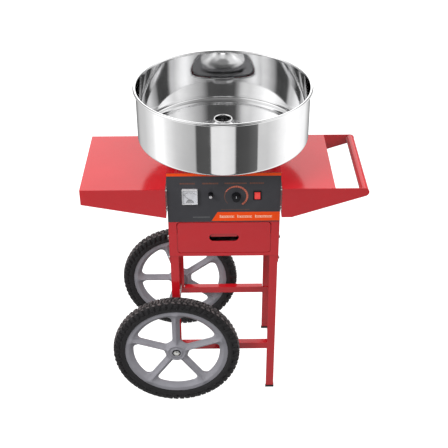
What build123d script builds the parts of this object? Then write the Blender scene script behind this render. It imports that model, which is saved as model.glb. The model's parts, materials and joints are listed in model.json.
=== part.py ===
from build123d import *
from math import cos, radians, sin
import os

# Cotton candy machine on a two-wheeled serving cart. Units are millimetres.
# +X is the operator's right, +Y runs to the back, +Z is up.
# The origin is on the floor, straight below the spinner axis.

os.makedirs("parts", exist_ok=True)

# ---------------------------------------------------------------- driving dimensions
SHEET = 2.0                 # painted steel sheet
BODY_HALF_X = 165.0         # outer face of the side panels
BODY_HALF_Y = 157.0         # outer face of the front frame and the back panel
BODY_BOTTOM = 540.0
BODY_TOP = 830.0
DIVIDER_TOP = 664.0         # floor of the machine bay, roof of the drawer bay
TAB_DROP = 30.0             # side panel tabs reach this far below the body
TAB_WIDTH = 27.0

SHELF_TOP = 781.0
SHELF_HALF_Y = 168.5
SHELF_GAP = 4.0             # spacer between body and shelf
SHELF_ROOT_DEPTH = 97.0     # height of the shelf lips at the body
LEFT_SHELF_END = 416.0
LEFT_LIP_DEPTH = 49.0       # height of the left lips at the outer end
RIGHT_LIP_DEPTH = 20.0      # turned-down outer edge of the right plate
RIGHT_PLATE_END = 322.5
HANDLE_X = 407.0
HANDLE_RADIUS = 12.5
ARM_END_RADIUS = 13.5
ARM_FLAT = 30.0             # level stretch under each arm beside the body

LEG_HALF_X = 163.0          # outer faces of the leg angles
LEG_HALF_Y = 155.0
LEG_WIDTH = 25.0
LEG_THICK = 3.0
LEG_TOP = 620.0
LEFT_LEG_BOTTOM = 182.0
FOOT_HEIGHT = 8.0
FOOT_SOLE = 3.0
FOOT_WALL = 1.5
BRACE_BOTTOM = 166.0
BRACE_HEIGHT = 24.0
BRACE_DEPTH = 20.0

AXLE_X = -153.0
AXLE_Z = 202.0
AXLE_RADIUS = 6.0
AXLE_HALF_LENGTH = 217.0
WHEEL_HALF_Y = 196.0        # mid-plane of each wheel
TYRE_RADIUS = 202.0
TYRE_HALF_WIDTH = 23.0
RIM_RADIUS = 164.0
RIM_INNER_RADIUS = 137.0
RIM_CHANNEL_RADIUS = 153.0
RIM_HALF_WIDTH = 14.0
RIM_FLANGE = 3.0            # thickness of the two flanges beside the tyre bead
WEB_HALF_THICK = 5.0        # flat web behind the spokes
WINDOW_FILLET = 11.0
HUB_RADIUS = 29.5
HUB_HALF_WIDTH = 18.0
HUB_POCKET_RADIUS = 13.5
HUB_POCKET_DEPTH = 8.0
HUB_COLLAR = 6.0            # web left round the hub inside the windows
SPOKE_COUNT = 5
SPOKE_HALF_WIDTH = 12.5
SPOKE_FLANGE_HALF_WIDTH = 13.5
SPOKE_ROOF_HALF_WIDTH = 11.0
SPOKE_RIDGE_HALF_WIDTH = 5.0
TYRE_SIDE_RADIUS = 180.0    # where the sidewalls are widest
TYRE_SHOULDER_RADIUS = 198.0
TYRE_SHOULDER_HALF = 20.0
TYRE_LIP_HALF = 15.5
TYRE_FIT = 0.3              # clearance between bead and rim channel
BUSH_RADIUS = 9.0
BUSH_LENGTH = 10.0
FRONT_SPOKE_ANGLE = 90.0
BACK_SPOKE_ANGLE = 180.0

BOWL_RADIUS = 252.4         # outside of the wall
BOWL_SHEET = 1.2
BOWL_BOTTOM = 870.0
BOWL_CORNER = 10.0
BOWL_SEAM = 884.0           # the wall is rolled onto the pan's upturned edge here
BOWL_BEAD_Z = 1029.5
BOWL_BEAD_RADIUS = 4.5
BOWL_HOLE_RADIUS = 92.0
SEAT_RADIUS = 150.0
SEAT_WALL = 4.0
GASKET_HEIGHT = 4.0

SPINDLE_RADIUS = 6.0
HEAD_BASE_RADIUS = 87.0
HEAD_BASE_Z = 873.0
HEAD_CONE_RADIUS = 63.0
HEAD_CONE_BOTTOM = 882.0
HEAD_RING_RADIUS = 25.7     # centreline of the ring round the sugar mouth
HEAD_RING_Z = 923.0
HEAD_RING_BEAD = 2.6

DRAWER_HALF_X = 138.8
DRAWER_BOTTOM = 553.0
DRAWER_TOP = 660.0
DRAWER_CORNER = 9.0
DRAWER_GAP = 1.6
TRAY_HALF_X = 134.0
TRAY_BACK = 140.0
TRAY_TOP = 640.0
TRAY_FLOOR = 556.0
TRAY_SHEET = 1.5
SLOT_LENGTH = 88.0
SLOT_HEIGHT = 26.0
SLOT_Z = 607.0
HEM_DEPTH = 3.0           # hem behind the upper half of the finger slot

PANEL_THICK = 1.5
METER_X, METER_Z = -98.5, 754.0
METER_WIDTH, METER_HEIGHT, METER_DEPTH = 45.0, 48.0, 10.0
METER_HOLE_RADIUS = 19.0
FUSE_X, FUSE_Z = -38.0, 759.0
FUSE_FLANGE_RADIUS = 7.5
KNOB_X, KNOB_Z = 36.0, 752.0
KNOB_RADIUS = 12.0
KNOB_HEIGHT = 17.0
SWITCH_X, SWITCH_Z = 97.5, 754.5
SWITCH_WIDTH, SWITCH_HEIGHT = 24.0, 30.0
SWITCH_BORDER = 3.0         # the cut-out is this much smaller than the bezel
SHAFT_RADIUS = 3.0
SHAFT_BUSH_RADIUS = 3.9     # threaded bush of the potentiometer
HOLE_MARGIN = 0.1           # easy fit round shafts and bushes
PRESS_FIT = 0.02
GLAND_X, GLAND_Z = -120.0, 690.0
GLAND_RADIUS = 7.9          # threaded body through the back panel
CORD_BORE_RADIUS = 4.0

BOLT_RADIUS = 3.0
BOLT_HOLE_RADIUS = 3.2
BOLT_HEAD_RADIUS = 5.7
BOLT_HEAD_HEIGHT = 4.0
LEG_BOLT_Y = 143.0
LEG_BOLT_HEIGHTS = (524.0, 600.0)
SHELF_BOLT_HEIGHTS = (700.0, 768.0)

PANEL_FACE = -BODY_HALF_Y - PANEL_THICK


# ---------------------------------------------------------------- legs and braces
def leg_outline(side_x, side_y, grow=0.0):
    """Angle section in plan with its corner outward; grow thickens it all round."""
    corner_x = side_x * (LEG_HALF_X + grow)
    corner_y = side_y * (LEG_HALF_Y + grow)
    inner_x = side_x * (LEG_HALF_X - LEG_WIDTH - grow)
    inner_y = side_y * (LEG_HALF_Y - LEG_WIDTH - grow)
    web_x = side_x * (LEG_HALF_X - LEG_THICK - grow)
    web_y = side_y * (LEG_HALF_Y - LEG_THICK - grow)
    Polyline(
        (corner_x, corner_y), (inner_x, corner_y), (inner_x, web_y),
        (web_x, web_y), (web_x, inner_y), (corner_x, inner_y), close=True,
    )


for side_x, hand in ((-1, "left"), (1, "right")):
    for side_y, end in ((-1, "front"), (1, "back")):
        bottom = LEFT_LEG_BOTTOM if side_x < 0 else FOOT_SOLE
        with BuildPart() as leg:
            with BuildSketch(Plane.XY.offset(bottom)):
                with BuildLine():
                    leg_outline(side_x, side_y)
                make_face()
            extrude(amount=LEG_TOP - bottom)
            with BuildSketch(Plane.YZ.offset(side_x * (LEG_HALF_X + 1))):
                with Locations([(side_y * LEG_BOLT_Y, z) for z in LEG_BOLT_HEIGHTS]):
                    Circle(BOLT_HOLE_RADIUS)
            extrude(amount=-side_x * (LEG_THICK + 2), mode=Mode.SUBTRACT)
            if side_x < 0:
                with BuildSketch(Plane.XZ.offset(-side_y * (LEG_HALF_Y + 1))):
                    with Locations((AXLE_X, AXLE_Z)):
                        Circle(AXLE_RADIUS + 0.2)
                extrude(amount=side_y * (LEG_THICK + 2), mode=Mode.SUBTRACT)
        leg.part.label = f"leg_{end}_{hand}"
        export_step(leg.part, f"parts/leg_{end}_{hand}.step")

# Each brace is an angle with its upright flange to the front and its top flange
# running back. The front one sits behind the leg flanges, the back one in front of them.
BRACE_HALF_X = LEG_HALF_X - LEG_THICK
BRACE_TOP = BRACE_BOTTOM + BRACE_HEIGHT
FRONT_BRACE_Y = -LEG_HALF_Y + LEG_THICK
BACK_BRACE_Y = LEG_HALF_Y - 2 * LEG_THICK
with BuildPart() as brace_front:
    with BuildSketch(Plane.YZ.offset(-BRACE_HALF_X)):
        with BuildLine():
            Polyline(
                (FRONT_BRACE_Y, BRACE_BOTTOM), (FRONT_BRACE_Y, BRACE_TOP),
                (FRONT_BRACE_Y + BRACE_DEPTH, BRACE_TOP),
                (FRONT_BRACE_Y + BRACE_DEPTH, BRACE_TOP - LEG_THICK),
                (FRONT_BRACE_Y + LEG_THICK, BRACE_TOP - LEG_THICK),
                (FRONT_BRACE_Y + LEG_THICK, BRACE_BOTTOM), close=True,
            )
        make_face()
    extrude(amount=2 * BRACE_HALF_X)
brace_front.part.label = "brace_front"
export_step(brace_front.part, "parts/brace_front.step")

BACK_BRACE_TOP_HALF_X = LEG_HALF_X - LEG_WIDTH - 0.5
with BuildPart() as brace_back:
    with BuildSketch(Plane.XZ.offset(-BACK_BRACE_Y)):
        with Locations((0, BRACE_BOTTOM + BRACE_HEIGHT / 2)):
            Rectangle(2 * BRACE_HALF_X, BRACE_HEIGHT)
    extrude(amount=-LEG_THICK)
    with BuildSketch(Plane.XY.offset(BRACE_TOP - LEG_THICK)):
        with Locations((0, BACK_BRACE_Y + BRACE_DEPTH / 2)):
            Rectangle(2 * BACK_BRACE_TOP_HALF_X, BRACE_DEPTH)
    extrude(amount=LEG_THICK)
brace_back.part.label = "brace_back"
export_step(brace_back.part, "parts/brace_back.step")

# Rubber caps on the two right legs
with BuildPart() as foot_caps:
    for side_y in (-1, 1):
        with BuildSketch():
            with BuildLine():
                leg_outline(1, side_y, FOOT_WALL)
            make_face()
        extrude(amount=FOOT_HEIGHT)
        with BuildSketch(Plane.XY.offset(FOOT_SOLE)):
            with BuildLine():
                leg_outline(1, side_y)
            make_face()
        extrude(amount=FOOT_HEIGHT, mode=Mode.SUBTRACT)
foot_caps.part.label = "foot_caps"
export_step(foot_caps.part, "parts/foot_caps.step")

# ---------------------------------------------------------------- body shell
TAB_CHAMFER = 8.0
SHELF_BOLT_POINTS = [(y, z) for y in (-LEG_BOLT_Y, LEG_BOLT_Y) for z in SHELF_BOLT_HEIGHTS]
LEG_BOLT_POINTS = [(y, z) for y in (-LEG_BOLT_Y, LEG_BOLT_Y) for z in LEG_BOLT_HEIGHTS]

for side_x, hand in ((-1, "left"), (1, "right")):
    with BuildPart() as side_panel:
        with BuildSketch(Plane.YZ.offset(side_x * BODY_HALF_X)):
            with Locations((0, (BODY_BOTTOM + BODY_TOP) / 2)):
                Rectangle(2 * BODY_HALF_Y, BODY_TOP - BODY_BOTTOM)
            for side_y in (-1, 1):
                outer = side_y * BODY_HALF_Y
                inner = side_y * (BODY_HALF_Y - TAB_WIDTH)
                tab_end = BODY_BOTTOM - TAB_DROP
                with BuildLine():
                    Polyline(
                        (outer, BODY_BOTTOM), (inner, BODY_BOTTOM),
                        (inner, tab_end + TAB_CHAMFER),
                        (inner + side_y * TAB_CHAMFER, tab_end),
                        (outer - side_y * TAB_CHAMFER, tab_end),
                        (outer, tab_end + TAB_CHAMFER), close=True,
                    )
                make_face()
            with Locations(SHELF_BOLT_POINTS + LEG_BOLT_POINTS):
                Circle(BOLT_HOLE_RADIUS, mode=Mode.SUBTRACT)
        extrude(amount=-side_x * SHEET)
    side_panel.part.label = f"side_panel_{hand}"
    export_step(side_panel.part, f"parts/side_panel_{hand}.step")

INNER_HALF_X = BODY_HALF_X - SHEET
INNER_HALF_Y = BODY_HALF_Y - SHEET
BODY_MID_Z = (BODY_BOTTOM + BODY_TOP) / 2
BODY_HEIGHT = BODY_TOP - BODY_BOTTOM


def instrument_holes():
    """Openings for meter, fuse, potentiometer and switch, cut in a front sketch."""
    with Locations((METER_X, METER_Z)):
        Circle(METER_HOLE_RADIUS, mode=Mode.SUBTRACT)
    with Locations((FUSE_X, FUSE_Z)):
        Circle(FUSE_FLANGE_RADIUS - 1, mode=Mode.SUBTRACT)
    with Locations((KNOB_X, KNOB_Z)):
        Circle(SHAFT_BUSH_RADIUS + HOLE_MARGIN, mode=Mode.SUBTRACT)
    with Locations((SWITCH_X, SWITCH_Z)):
        Rectangle(
            SWITCH_WIDTH - SWITCH_BORDER, SWITCH_HEIGHT - SWITCH_BORDER, mode=Mode.SUBTRACT
        )


OPENING_HALF_X = DRAWER_HALF_X + DRAWER_GAP
OPENING_HEIGHT = DRAWER_TOP - DRAWER_BOTTOM + 2 * DRAWER_GAP
DRAWER_MID_Z = (DRAWER_TOP + DRAWER_BOTTOM) / 2
with BuildPart() as front_frame:
    with BuildSketch(Plane.XZ.offset(INNER_HALF_Y)):
        with Locations((0, BODY_MID_Z)):
            Rectangle(2 * INNER_HALF_X, BODY_HEIGHT)
        with Locations((0, DRAWER_MID_Z)):
            RectangleRounded(2 * OPENING_HALF_X, OPENING_HEIGHT, DRAWER_CORNER, mode=Mode.SUBTRACT)
        instrument_holes()
    extrude(amount=SHEET)
front_frame.part.label = "front_frame"
export_step(front_frame.part, "parts/front_frame.step")

VENT_ROWS, VENT_COLUMNS = 5, 2
VENT_MID_Z = 765.0
VENT_LENGTH, VENT_WIDTH = 80.0, 5.0
VENT_PITCH_X, VENT_PITCH_Z = 110.0, 14.0
with BuildPart() as back_panel:
    with BuildSketch(Plane.XZ.offset(-BODY_HALF_Y)):
        with Locations((0, BODY_MID_Z)):
            Rectangle(2 * INNER_HALF_X, BODY_HEIGHT)
        with Locations((0, VENT_MID_Z)):
            with GridLocations(VENT_PITCH_X, VENT_PITCH_Z, VENT_COLUMNS, VENT_ROWS):
                SlotOverall(VENT_LENGTH, VENT_WIDTH, mode=Mode.SUBTRACT)
        with Locations((GLAND_X, GLAND_Z)):
            Circle(GLAND_RADIUS + HOLE_MARGIN, mode=Mode.SUBTRACT)
    extrude(amount=SHEET)
back_panel.part.label = "back_panel"
export_step(back_panel.part, "parts/back_panel.step")

CORNER_NOTCH = LEG_WIDTH + 1
with BuildPart() as bottom_plate:
    with BuildSketch(Plane.XY.offset(BODY_BOTTOM)):
        Rectangle(2 * INNER_HALF_X, 2 * INNER_HALF_Y)
        with GridLocations(2 * INNER_HALF_X, 2 * INNER_HALF_Y, 2, 2):
            Rectangle(2 * CORNER_NOTCH, 2 * CORNER_NOTCH, mode=Mode.SUBTRACT)
    extrude(amount=SHEET)
bottom_plate.part.label = "bottom_plate"
export_step(bottom_plate.part, "parts/bottom_plate.step")

with BuildPart() as bay_divider:
    with BuildSketch(Plane.XY.offset(DIVIDER_TOP - SHEET)):
        Rectangle(2 * INNER_HALF_X, 2 * INNER_HALF_Y)
    extrude(amount=SHEET)
bay_divider.part.label = "bay_divider"
export_step(bay_divider.part, "parts/bay_divider.step")

TOP_HOLE_RADIUS = 40.0
with BuildPart() as top_plate:
    with BuildSketch(Plane.XY.offset(BODY_TOP - SHEET)):
        Rectangle(2 * INNER_HALF_X, 2 * INNER_HALF_Y)
        Circle(TOP_HOLE_RADIUS, mode=Mode.SUBTRACT)
    extrude(amount=SHEET)
top_plate.part.label = "top_plate"
export_step(top_plate.part, "parts/top_plate.step")

with BuildPart() as control_panel:
    with BuildSketch(Plane.XZ.offset(BODY_HALF_Y)):
        with Locations((0, (DIVIDER_TOP + BODY_TOP) / 2)):
            Rectangle(2 * BODY_HALF_X, BODY_TOP - DIVIDER_TOP)
        instrument_holes()
    extrude(amount=PANEL_THICK)
control_panel.part.label = "control_panel"
export_step(control_panel.part, "parts/control_panel.step")

# ---------------------------------------------------------------- side shelves
SHELF_ROOT = BODY_HALF_X + SHELF_GAP
SHELF_INNER_Y = SHELF_HALF_Y - SHEET
ROOT_BOTTOM = SHELF_TOP - SHELF_ROOT_DEPTH


def shelf_lip(outer_x, outer_depth):
    """Tapering lip profile in front view from the shelf root to its outer end."""
    side = 1 if outer_x > 0 else -1
    Polyline(
        (side * SHELF_ROOT, SHELF_TOP), (outer_x, SHELF_TOP),
        (outer_x, SHELF_TOP - outer_depth), (side * SHELF_ROOT, ROOT_BOTTOM), close=True,
    )


with BuildPart() as left_shelf:
    mid_x = -(SHELF_ROOT + LEFT_SHELF_END) / 2
    length = LEFT_SHELF_END - SHELF_ROOT
    with BuildSketch(Plane.XY.offset(SHELF_TOP - SHEET)):
        with Locations((mid_x, 0)):
            Rectangle(length, 2 * SHELF_HALF_Y)
    extrude(amount=SHEET)
    for side_y in (-1, 1):
        with BuildSketch(Plane.XZ.offset(-side_y * SHELF_HALF_Y)):
            with BuildLine():
                shelf_lip(-LEFT_SHELF_END, LEFT_LIP_DEPTH)
            make_face()
        extrude(amount=side_y * SHEET)
    with BuildSketch(Plane.YZ.offset(-LEFT_SHELF_END)):
        with Locations((0, SHELF_TOP - LEFT_LIP_DEPTH / 2)):
            Rectangle(2 * SHELF_HALF_Y, LEFT_LIP_DEPTH)
    extrude(amount=SHEET)
    with BuildSketch(Plane.YZ.offset(-SHELF_ROOT)):
        with Locations((0, SHELF_TOP - SHELF_ROOT_DEPTH / 2)):
            Rectangle(2 * SHELF_HALF_Y, SHELF_ROOT_DEPTH)
        with Locations(SHELF_BOLT_POINTS):
            Circle(BOLT_HOLE_RADIUS, mode=Mode.SUBTRACT)
    extrude(amount=-SHEET)
left_shelf.part.label = "left_shelf"
export_step(left_shelf.part, "parts/left_shelf.step")

with BuildPart() as right_shelf:
    mid_x = (SHELF_ROOT + RIGHT_PLATE_END) / 2
    length = RIGHT_PLATE_END - SHELF_ROOT
    with BuildSketch(Plane.XY.offset(SHELF_TOP - SHEET)):
        with Locations((mid_x, 0)):
            Rectangle(length, 2 * SHELF_INNER_Y)
    extrude(amount=SHEET)
    with BuildSketch(Plane.YZ.offset(RIGHT_PLATE_END)):
        with Locations((0, SHELF_TOP - RIGHT_LIP_DEPTH / 2)):
            Rectangle(2 * SHELF_INNER_Y, RIGHT_LIP_DEPTH)
    extrude(amount=-SHEET)
    with BuildSketch(Plane.YZ.offset(SHELF_ROOT)):
        with Locations((0, SHELF_TOP - SHELF_ROOT_DEPTH / 2)):
            Rectangle(2 * SHELF_INNER_Y, SHELF_ROOT_DEPTH)
        with Locations(SHELF_BOLT_POINTS):
            Circle(BOLT_HOLE_RADIUS, mode=Mode.SUBTRACT)
    extrude(amount=SHEET)
right_shelf.part.label = "right_shelf"
export_step(right_shelf.part, "parts/right_shelf.step")

# The arms are level at the root, taper to the handle and end round it.
HANDLE_Z = SHELF_TOP - ARM_END_RADIUS
TAPER_ANGLE = 75.0          # direction of the round end's tangent point below the handle
for side_y, end in ((-1, "front"), (1, "back")):
    with BuildPart() as handle_arm:
        with BuildSketch(Plane.XZ.offset(-side_y * SHELF_HALF_Y)):
            tip_x = HANDLE_X + ARM_END_RADIUS * cos(radians(TAPER_ANGLE))
            tip_z = HANDLE_Z - ARM_END_RADIUS * sin(radians(TAPER_ANGLE))
            with BuildLine():
                outline = Polyline(
                    (HANDLE_X, SHELF_TOP), (SHELF_ROOT, SHELF_TOP),
                    (SHELF_ROOT, ROOT_BOTTOM), (SHELF_ROOT + ARM_FLAT, ROOT_BOTTOM),
                    (tip_x, tip_z),
                )
                ThreePointArc(
                    outline @ 1, (HANDLE_X + ARM_END_RADIUS, HANDLE_Z), outline @ 0
                )
            make_face()
        extrude(amount=side_y * SHEET)
    handle_arm.part.label = f"handle_arm_{end}"
    export_step(handle_arm.part, f"parts/handle_arm_{end}.step")

HANDLE_WALL = 1.5
with BuildPart() as handle_tube:
    with BuildSketch(Plane.XZ.offset(-SHELF_INNER_Y)):
        with Locations((HANDLE_X, HANDLE_Z)):
            Circle(HANDLE_RADIUS)
            Circle(HANDLE_RADIUS - HANDLE_WALL, mode=Mode.SUBTRACT)
    extrude(amount=2 * SHELF_INNER_Y)
handle_tube.part.label = "handle_tube"
export_step(handle_tube.part, "parts/handle_tube.step")

# ---------------------------------------------------------------- bolts
SHELF_BOLT_HEAD_X = SHELF_ROOT + SHEET
SPACER_RADIUS = 6.0
BOLT_TAIL = 2.0             # thread standing out beyond the nut


def hex_bolt(side_x, head_x, tail_x, y, z, sleeve=0.0):
    """Bolt along X: head outside head_x, nut inside tail_x, spacer sleeve on the body."""
    with BuildPart() as bolt:
        with BuildSketch(Plane.YZ.offset(side_x * head_x)):
            with Locations((y, z)):
                RegularPolygon(BOLT_HEAD_RADIUS, 6)
        extrude(amount=side_x * BOLT_HEAD_HEIGHT)
        with BuildSketch(Plane.YZ.offset(side_x * head_x)):
            with Locations((y, z)):
                Circle(BOLT_RADIUS)
        extrude(amount=-side_x * (head_x - tail_x + BOLT_HEAD_HEIGHT + BOLT_TAIL))
        with BuildSketch(Plane.YZ.offset(side_x * tail_x)):
            with Locations((y, z)):
                RegularPolygon(BOLT_HEAD_RADIUS, 6)
        extrude(amount=-side_x * BOLT_HEAD_HEIGHT)
        if sleeve:
            with BuildSketch(Plane.YZ.offset(side_x * BODY_HALF_X)):
                with Locations((y, z)):
                    Circle(SPACER_RADIUS)
            extrude(amount=side_x * sleeve)
    return bolt.part


leg_bolt_set = [
    hex_bolt(side_x, BODY_HALF_X, LEG_HALF_X - LEG_THICK, y, z)
    for side_x in (-1, 1)
    for y, z in LEG_BOLT_POINTS
]
with BuildPart() as leg_bolts:
    add(leg_bolt_set)
leg_bolts.part.label = "leg_bolts"
export_step(leg_bolts.part, "parts/leg_bolts.step")

shelf_bolt_set = [
    hex_bolt(side_x, SHELF_BOLT_HEAD_X, INNER_HALF_X, y, z, SHELF_GAP)
    for side_x in (-1, 1)
    for y, z in SHELF_BOLT_POINTS
]
with BuildPart() as shelf_bolts:
    add(shelf_bolt_set)
shelf_bolts.part.label = "shelf_bolts"
export_step(shelf_bolts.part, "parts/shelf_bolts.step")

# ---------------------------------------------------------------- axle and wheels
with BuildPart() as axle:
    with BuildSketch(Plane.XZ.offset(-AXLE_HALF_LENGTH)):
        with Locations((AXLE_X, AXLE_Z)):
            Circle(AXLE_RADIUS)
    extrude(amount=2 * AXLE_HALF_LENGTH)
    chamfer(axle.edges().filter_by(GeomType.CIRCLE), 1.0)
axle.part.label = "axle"
export_step(axle.part, "parts/axle.step")

HUB_INNER_Y = WHEEL_HALF_Y - HUB_HALF_WIDTH
HUB_POCKET_Y = WHEEL_HALF_Y + HUB_HALF_WIDTH - HUB_POCKET_DEPTH
NUT_HEIGHT = 6.0
WASHER_HEIGHT = 1.5
RUNNING_GAP = 0.4
SPACER_TUBE_RADIUS = 10.0
WASHER_RADIUS = 11.0
NUT_HALF_FLATS = 9.0
with BuildPart() as axle_spacers:
    for side_y in (-1, 1):
        for start, height, radius in (
            (LEG_HALF_Y, HUB_INNER_Y - RUNNING_GAP - LEG_HALF_Y, SPACER_TUBE_RADIUS),
            (HUB_POCKET_Y + RUNNING_GAP, WASHER_HEIGHT, WASHER_RADIUS),
        ):
            with BuildSketch(Plane.XZ.offset(-side_y * start)):
                with Locations((AXLE_X, AXLE_Z)):
                    Circle(radius)
                    Circle(AXLE_RADIUS + HOLE_MARGIN, mode=Mode.SUBTRACT)
            extrude(amount=-side_y * height)
axle_spacers.part.label = "axle_spacers"
export_step(axle_spacers.part, "parts/axle_spacers.step")

NUT_START = HUB_POCKET_Y + RUNNING_GAP + WASHER_HEIGHT
with BuildPart() as axle_nuts:
    for side_y in (-1, 1):
        with BuildSketch(Plane.XZ.offset(-side_y * NUT_START)):
            with Locations((AXLE_X, AXLE_Z)):
                RegularPolygon(NUT_HALF_FLATS, 6, major_radius=False)
                Circle(AXLE_RADIUS + HOLE_MARGIN, mode=Mode.SUBTRACT)
        extrude(amount=-side_y * NUT_HEIGHT)
axle_nuts.part.label = "axle_nuts"
export_step(axle_nuts.part, "parts/axle_nuts.step")


def spoke_section():
    """Corners of a spoke's cross-section: flanged sides and a flat ridge on each face."""
    right_half = [
        (SPOKE_RIDGE_HALF_WIDTH, SPOKE_HALF_WIDTH), (SPOKE_ROOF_HALF_WIDTH, 3.5),
        (SPOKE_FLANGE_HALF_WIDTH, 2.0), (SPOKE_FLANGE_HALF_WIDTH, -2.0),
        (SPOKE_ROOF_HALF_WIDTH, -3.5), (SPOKE_RIDGE_HALF_WIDTH, -SPOKE_HALF_WIDTH),
    ]
    return right_half + [(-across, height) for across, height in reversed(right_half)]


def make_rim(face, section, axis, spoke_angle):
    """Spoked plastic wheel centre: channel ring, hub and five roof-shaped spokes."""
    channel = RIM_HALF_WIDTH - RIM_FLANGE
    with BuildPart() as rim:
        with BuildSketch(section):
            with BuildLine():
                Polyline(
                    (RIM_INNER_RADIUS, -RIM_HALF_WIDTH), (RIM_RADIUS, -RIM_HALF_WIDTH),
                    (RIM_RADIUS, -channel), (RIM_CHANNEL_RADIUS, -channel),
                    (RIM_CHANNEL_RADIUS, channel), (RIM_RADIUS, channel),
                    (RIM_RADIUS, RIM_HALF_WIDTH), (RIM_INNER_RADIUS, RIM_HALF_WIDTH), close=True,
                )
            make_face()
        revolve(axis=axis)
        with BuildSketch(face):
            Circle(RIM_INNER_RADIUS + 1)
            with BuildSketch(mode=Mode.PRIVATE) as windows:
                Circle(RIM_INNER_RADIUS)
                Circle(HUB_RADIUS + HUB_COLLAR, mode=Mode.SUBTRACT)
                with PolarLocations(0, SPOKE_COUNT, start_angle=spoke_angle):
                    Rectangle(
                        RIM_RADIUS, 2 * SPOKE_HALF_WIDTH,
                        align=(Align.MIN, Align.CENTER), mode=Mode.SUBTRACT,
                    )
                fillet(windows.vertices(), WINDOW_FILLET)
            add(windows.sketch, mode=Mode.SUBTRACT)
        extrude(amount=WEB_HALF_THICK, both=True)
        with BuildSketch(face):
            Circle(HUB_RADIUS)
        extrude(amount=HUB_HALF_WIDTH, both=True)
        for index in range(SPOKE_COUNT):
            angle = spoke_angle + index * 360 / SPOKE_COUNT
            run = face.x_dir * cos(radians(angle)) + face.y_dir * sin(radians(angle))
            across = Plane(origin=face.origin, x_dir=face.z_dir, z_dir=run)
            with BuildSketch(across.offset(HUB_RADIUS - 4)):
                with BuildLine():
                    Polyline(spoke_section(), close=True)
                make_face()
            extrude(amount=RIM_INNER_RADIUS - HUB_RADIUS + 6)
        with BuildSketch(face.offset(HUB_HALF_WIDTH - HUB_POCKET_DEPTH)):
            Circle(HUB_POCKET_RADIUS)
        extrude(amount=HUB_POCKET_DEPTH, mode=Mode.SUBTRACT)
        with BuildSketch(face):
            Circle(BUSH_RADIUS)
        extrude(amount=HUB_HALF_WIDTH, both=True, mode=Mode.SUBTRACT)
    return rim


def make_tyre(section, axis):
    """Rounded tyre whose bead sits in the rim's channel."""
    bead = RIM_CHANNEL_RADIUS + TYRE_FIT
    neck = RIM_HALF_WIDTH - RIM_FLANGE - TYRE_FIT
    lip = RIM_RADIUS + 0.5
    shoulder, half = TYRE_SHOULDER_RADIUS, TYRE_SHOULDER_HALF
    with BuildPart() as tyre:
        with BuildSketch(section):
            with BuildLine():
                Polyline((bead, -neck), (bead, neck), (lip, neck), (lip, TYRE_LIP_HALF))
                for side in (1, -1):
                    ThreePointArc(
                        (lip, side * TYRE_LIP_HALF), (TYRE_SIDE_RADIUS, side * TYRE_HALF_WIDTH),
                        (shoulder, side * half),
                    )
                ThreePointArc((shoulder, half), (TYRE_RADIUS, 0), (shoulder, -half))
                Polyline((lip, -TYRE_LIP_HALF), (lip, -neck), (bead, -neck))
            make_face()
        revolve(axis=axis)
    return tyre


def make_bushes(face):
    """Pair of plain bushes, one pressed in each end of the hub."""
    with BuildPart() as bushes:
        for start in (-HUB_HALF_WIDTH, HUB_HALF_WIDTH - HUB_POCKET_DEPTH - BUSH_LENGTH):
            with BuildSketch(face.offset(start)):
                Circle(BUSH_RADIUS - PRESS_FIT)
                Circle(AXLE_RADIUS + 0.06, mode=Mode.SUBTRACT)
            extrude(amount=BUSH_LENGTH)
    return bushes


for side_y, end, angle in ((-1, "front", FRONT_SPOKE_ANGLE), (1, "back", BACK_SPOKE_ANGLE)):
    centre = (AXLE_X, side_y * WHEEL_HALF_Y, AXLE_Z)
    wheel_face = Plane(origin=centre, x_dir=(1, 0, 0), z_dir=(0, side_y, 0))
    wheel_section = Plane(origin=centre, x_dir=(1, 0, 0), z_dir=(0, 0, 1))
    wheel_axis = Axis(centre, (0, 1, 0))
    rim = make_rim(wheel_face, wheel_section, wheel_axis, -side_y * angle)
    rim.part.label = f"wheel_rim_{end}"
    export_step(rim.part, f"parts/wheel_rim_{end}.step")
    tyre = make_tyre(wheel_section, wheel_axis)
    tyre.part.label = f"tyre_{end}"
    export_step(tyre.part, f"parts/tyre_{end}.step")
    bushes = make_bushes(wheel_face)
    bushes.part.label = f"wheel_bushes_{end}"
    export_step(bushes.part, f"parts/wheel_bushes_{end}.step")

# ---------------------------------------------------------------- drawer
DRAWER_HEIGHT = DRAWER_TOP - DRAWER_BOTTOM
HEM_SIDE_GAP = 4.0        # the hem stops short of the slot's round ends
HEM_SHEET = 1.5
HEM_NOTCH = 6.0
with BuildPart() as drawer_front:
    with BuildSketch(Plane.XZ.offset(INNER_HALF_Y)):
        with Locations((0, DRAWER_MID_Z)):
            RectangleRounded(2 * DRAWER_HALF_X, DRAWER_HEIGHT, DRAWER_CORNER)
        with Locations((0, SLOT_Z)):
            SlotOverall(SLOT_LENGTH, SLOT_HEIGHT, mode=Mode.SUBTRACT)
    extrude(amount=SHEET)
    slot_top = SLOT_Z + SLOT_HEIGHT / 2
    with BuildSketch(Plane.YZ.offset(HEM_SIDE_GAP - SLOT_LENGTH / 2)):
        with BuildLine():
            Polyline(
                (-INNER_HALF_Y, slot_top + HEM_NOTCH), (-INNER_HALF_Y, slot_top),
                (HEM_DEPTH - INNER_HALF_Y, SLOT_Z),
                (HEM_DEPTH - INNER_HALF_Y + HEM_SHEET, SLOT_Z + 0.5), close=True,
            )
        make_face()
    extrude(amount=SLOT_LENGTH - 2 * HEM_SIDE_GAP)
drawer_front.part.label = "drawer_front"
export_step(drawer_front.part, "parts/drawer_front.step")

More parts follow.
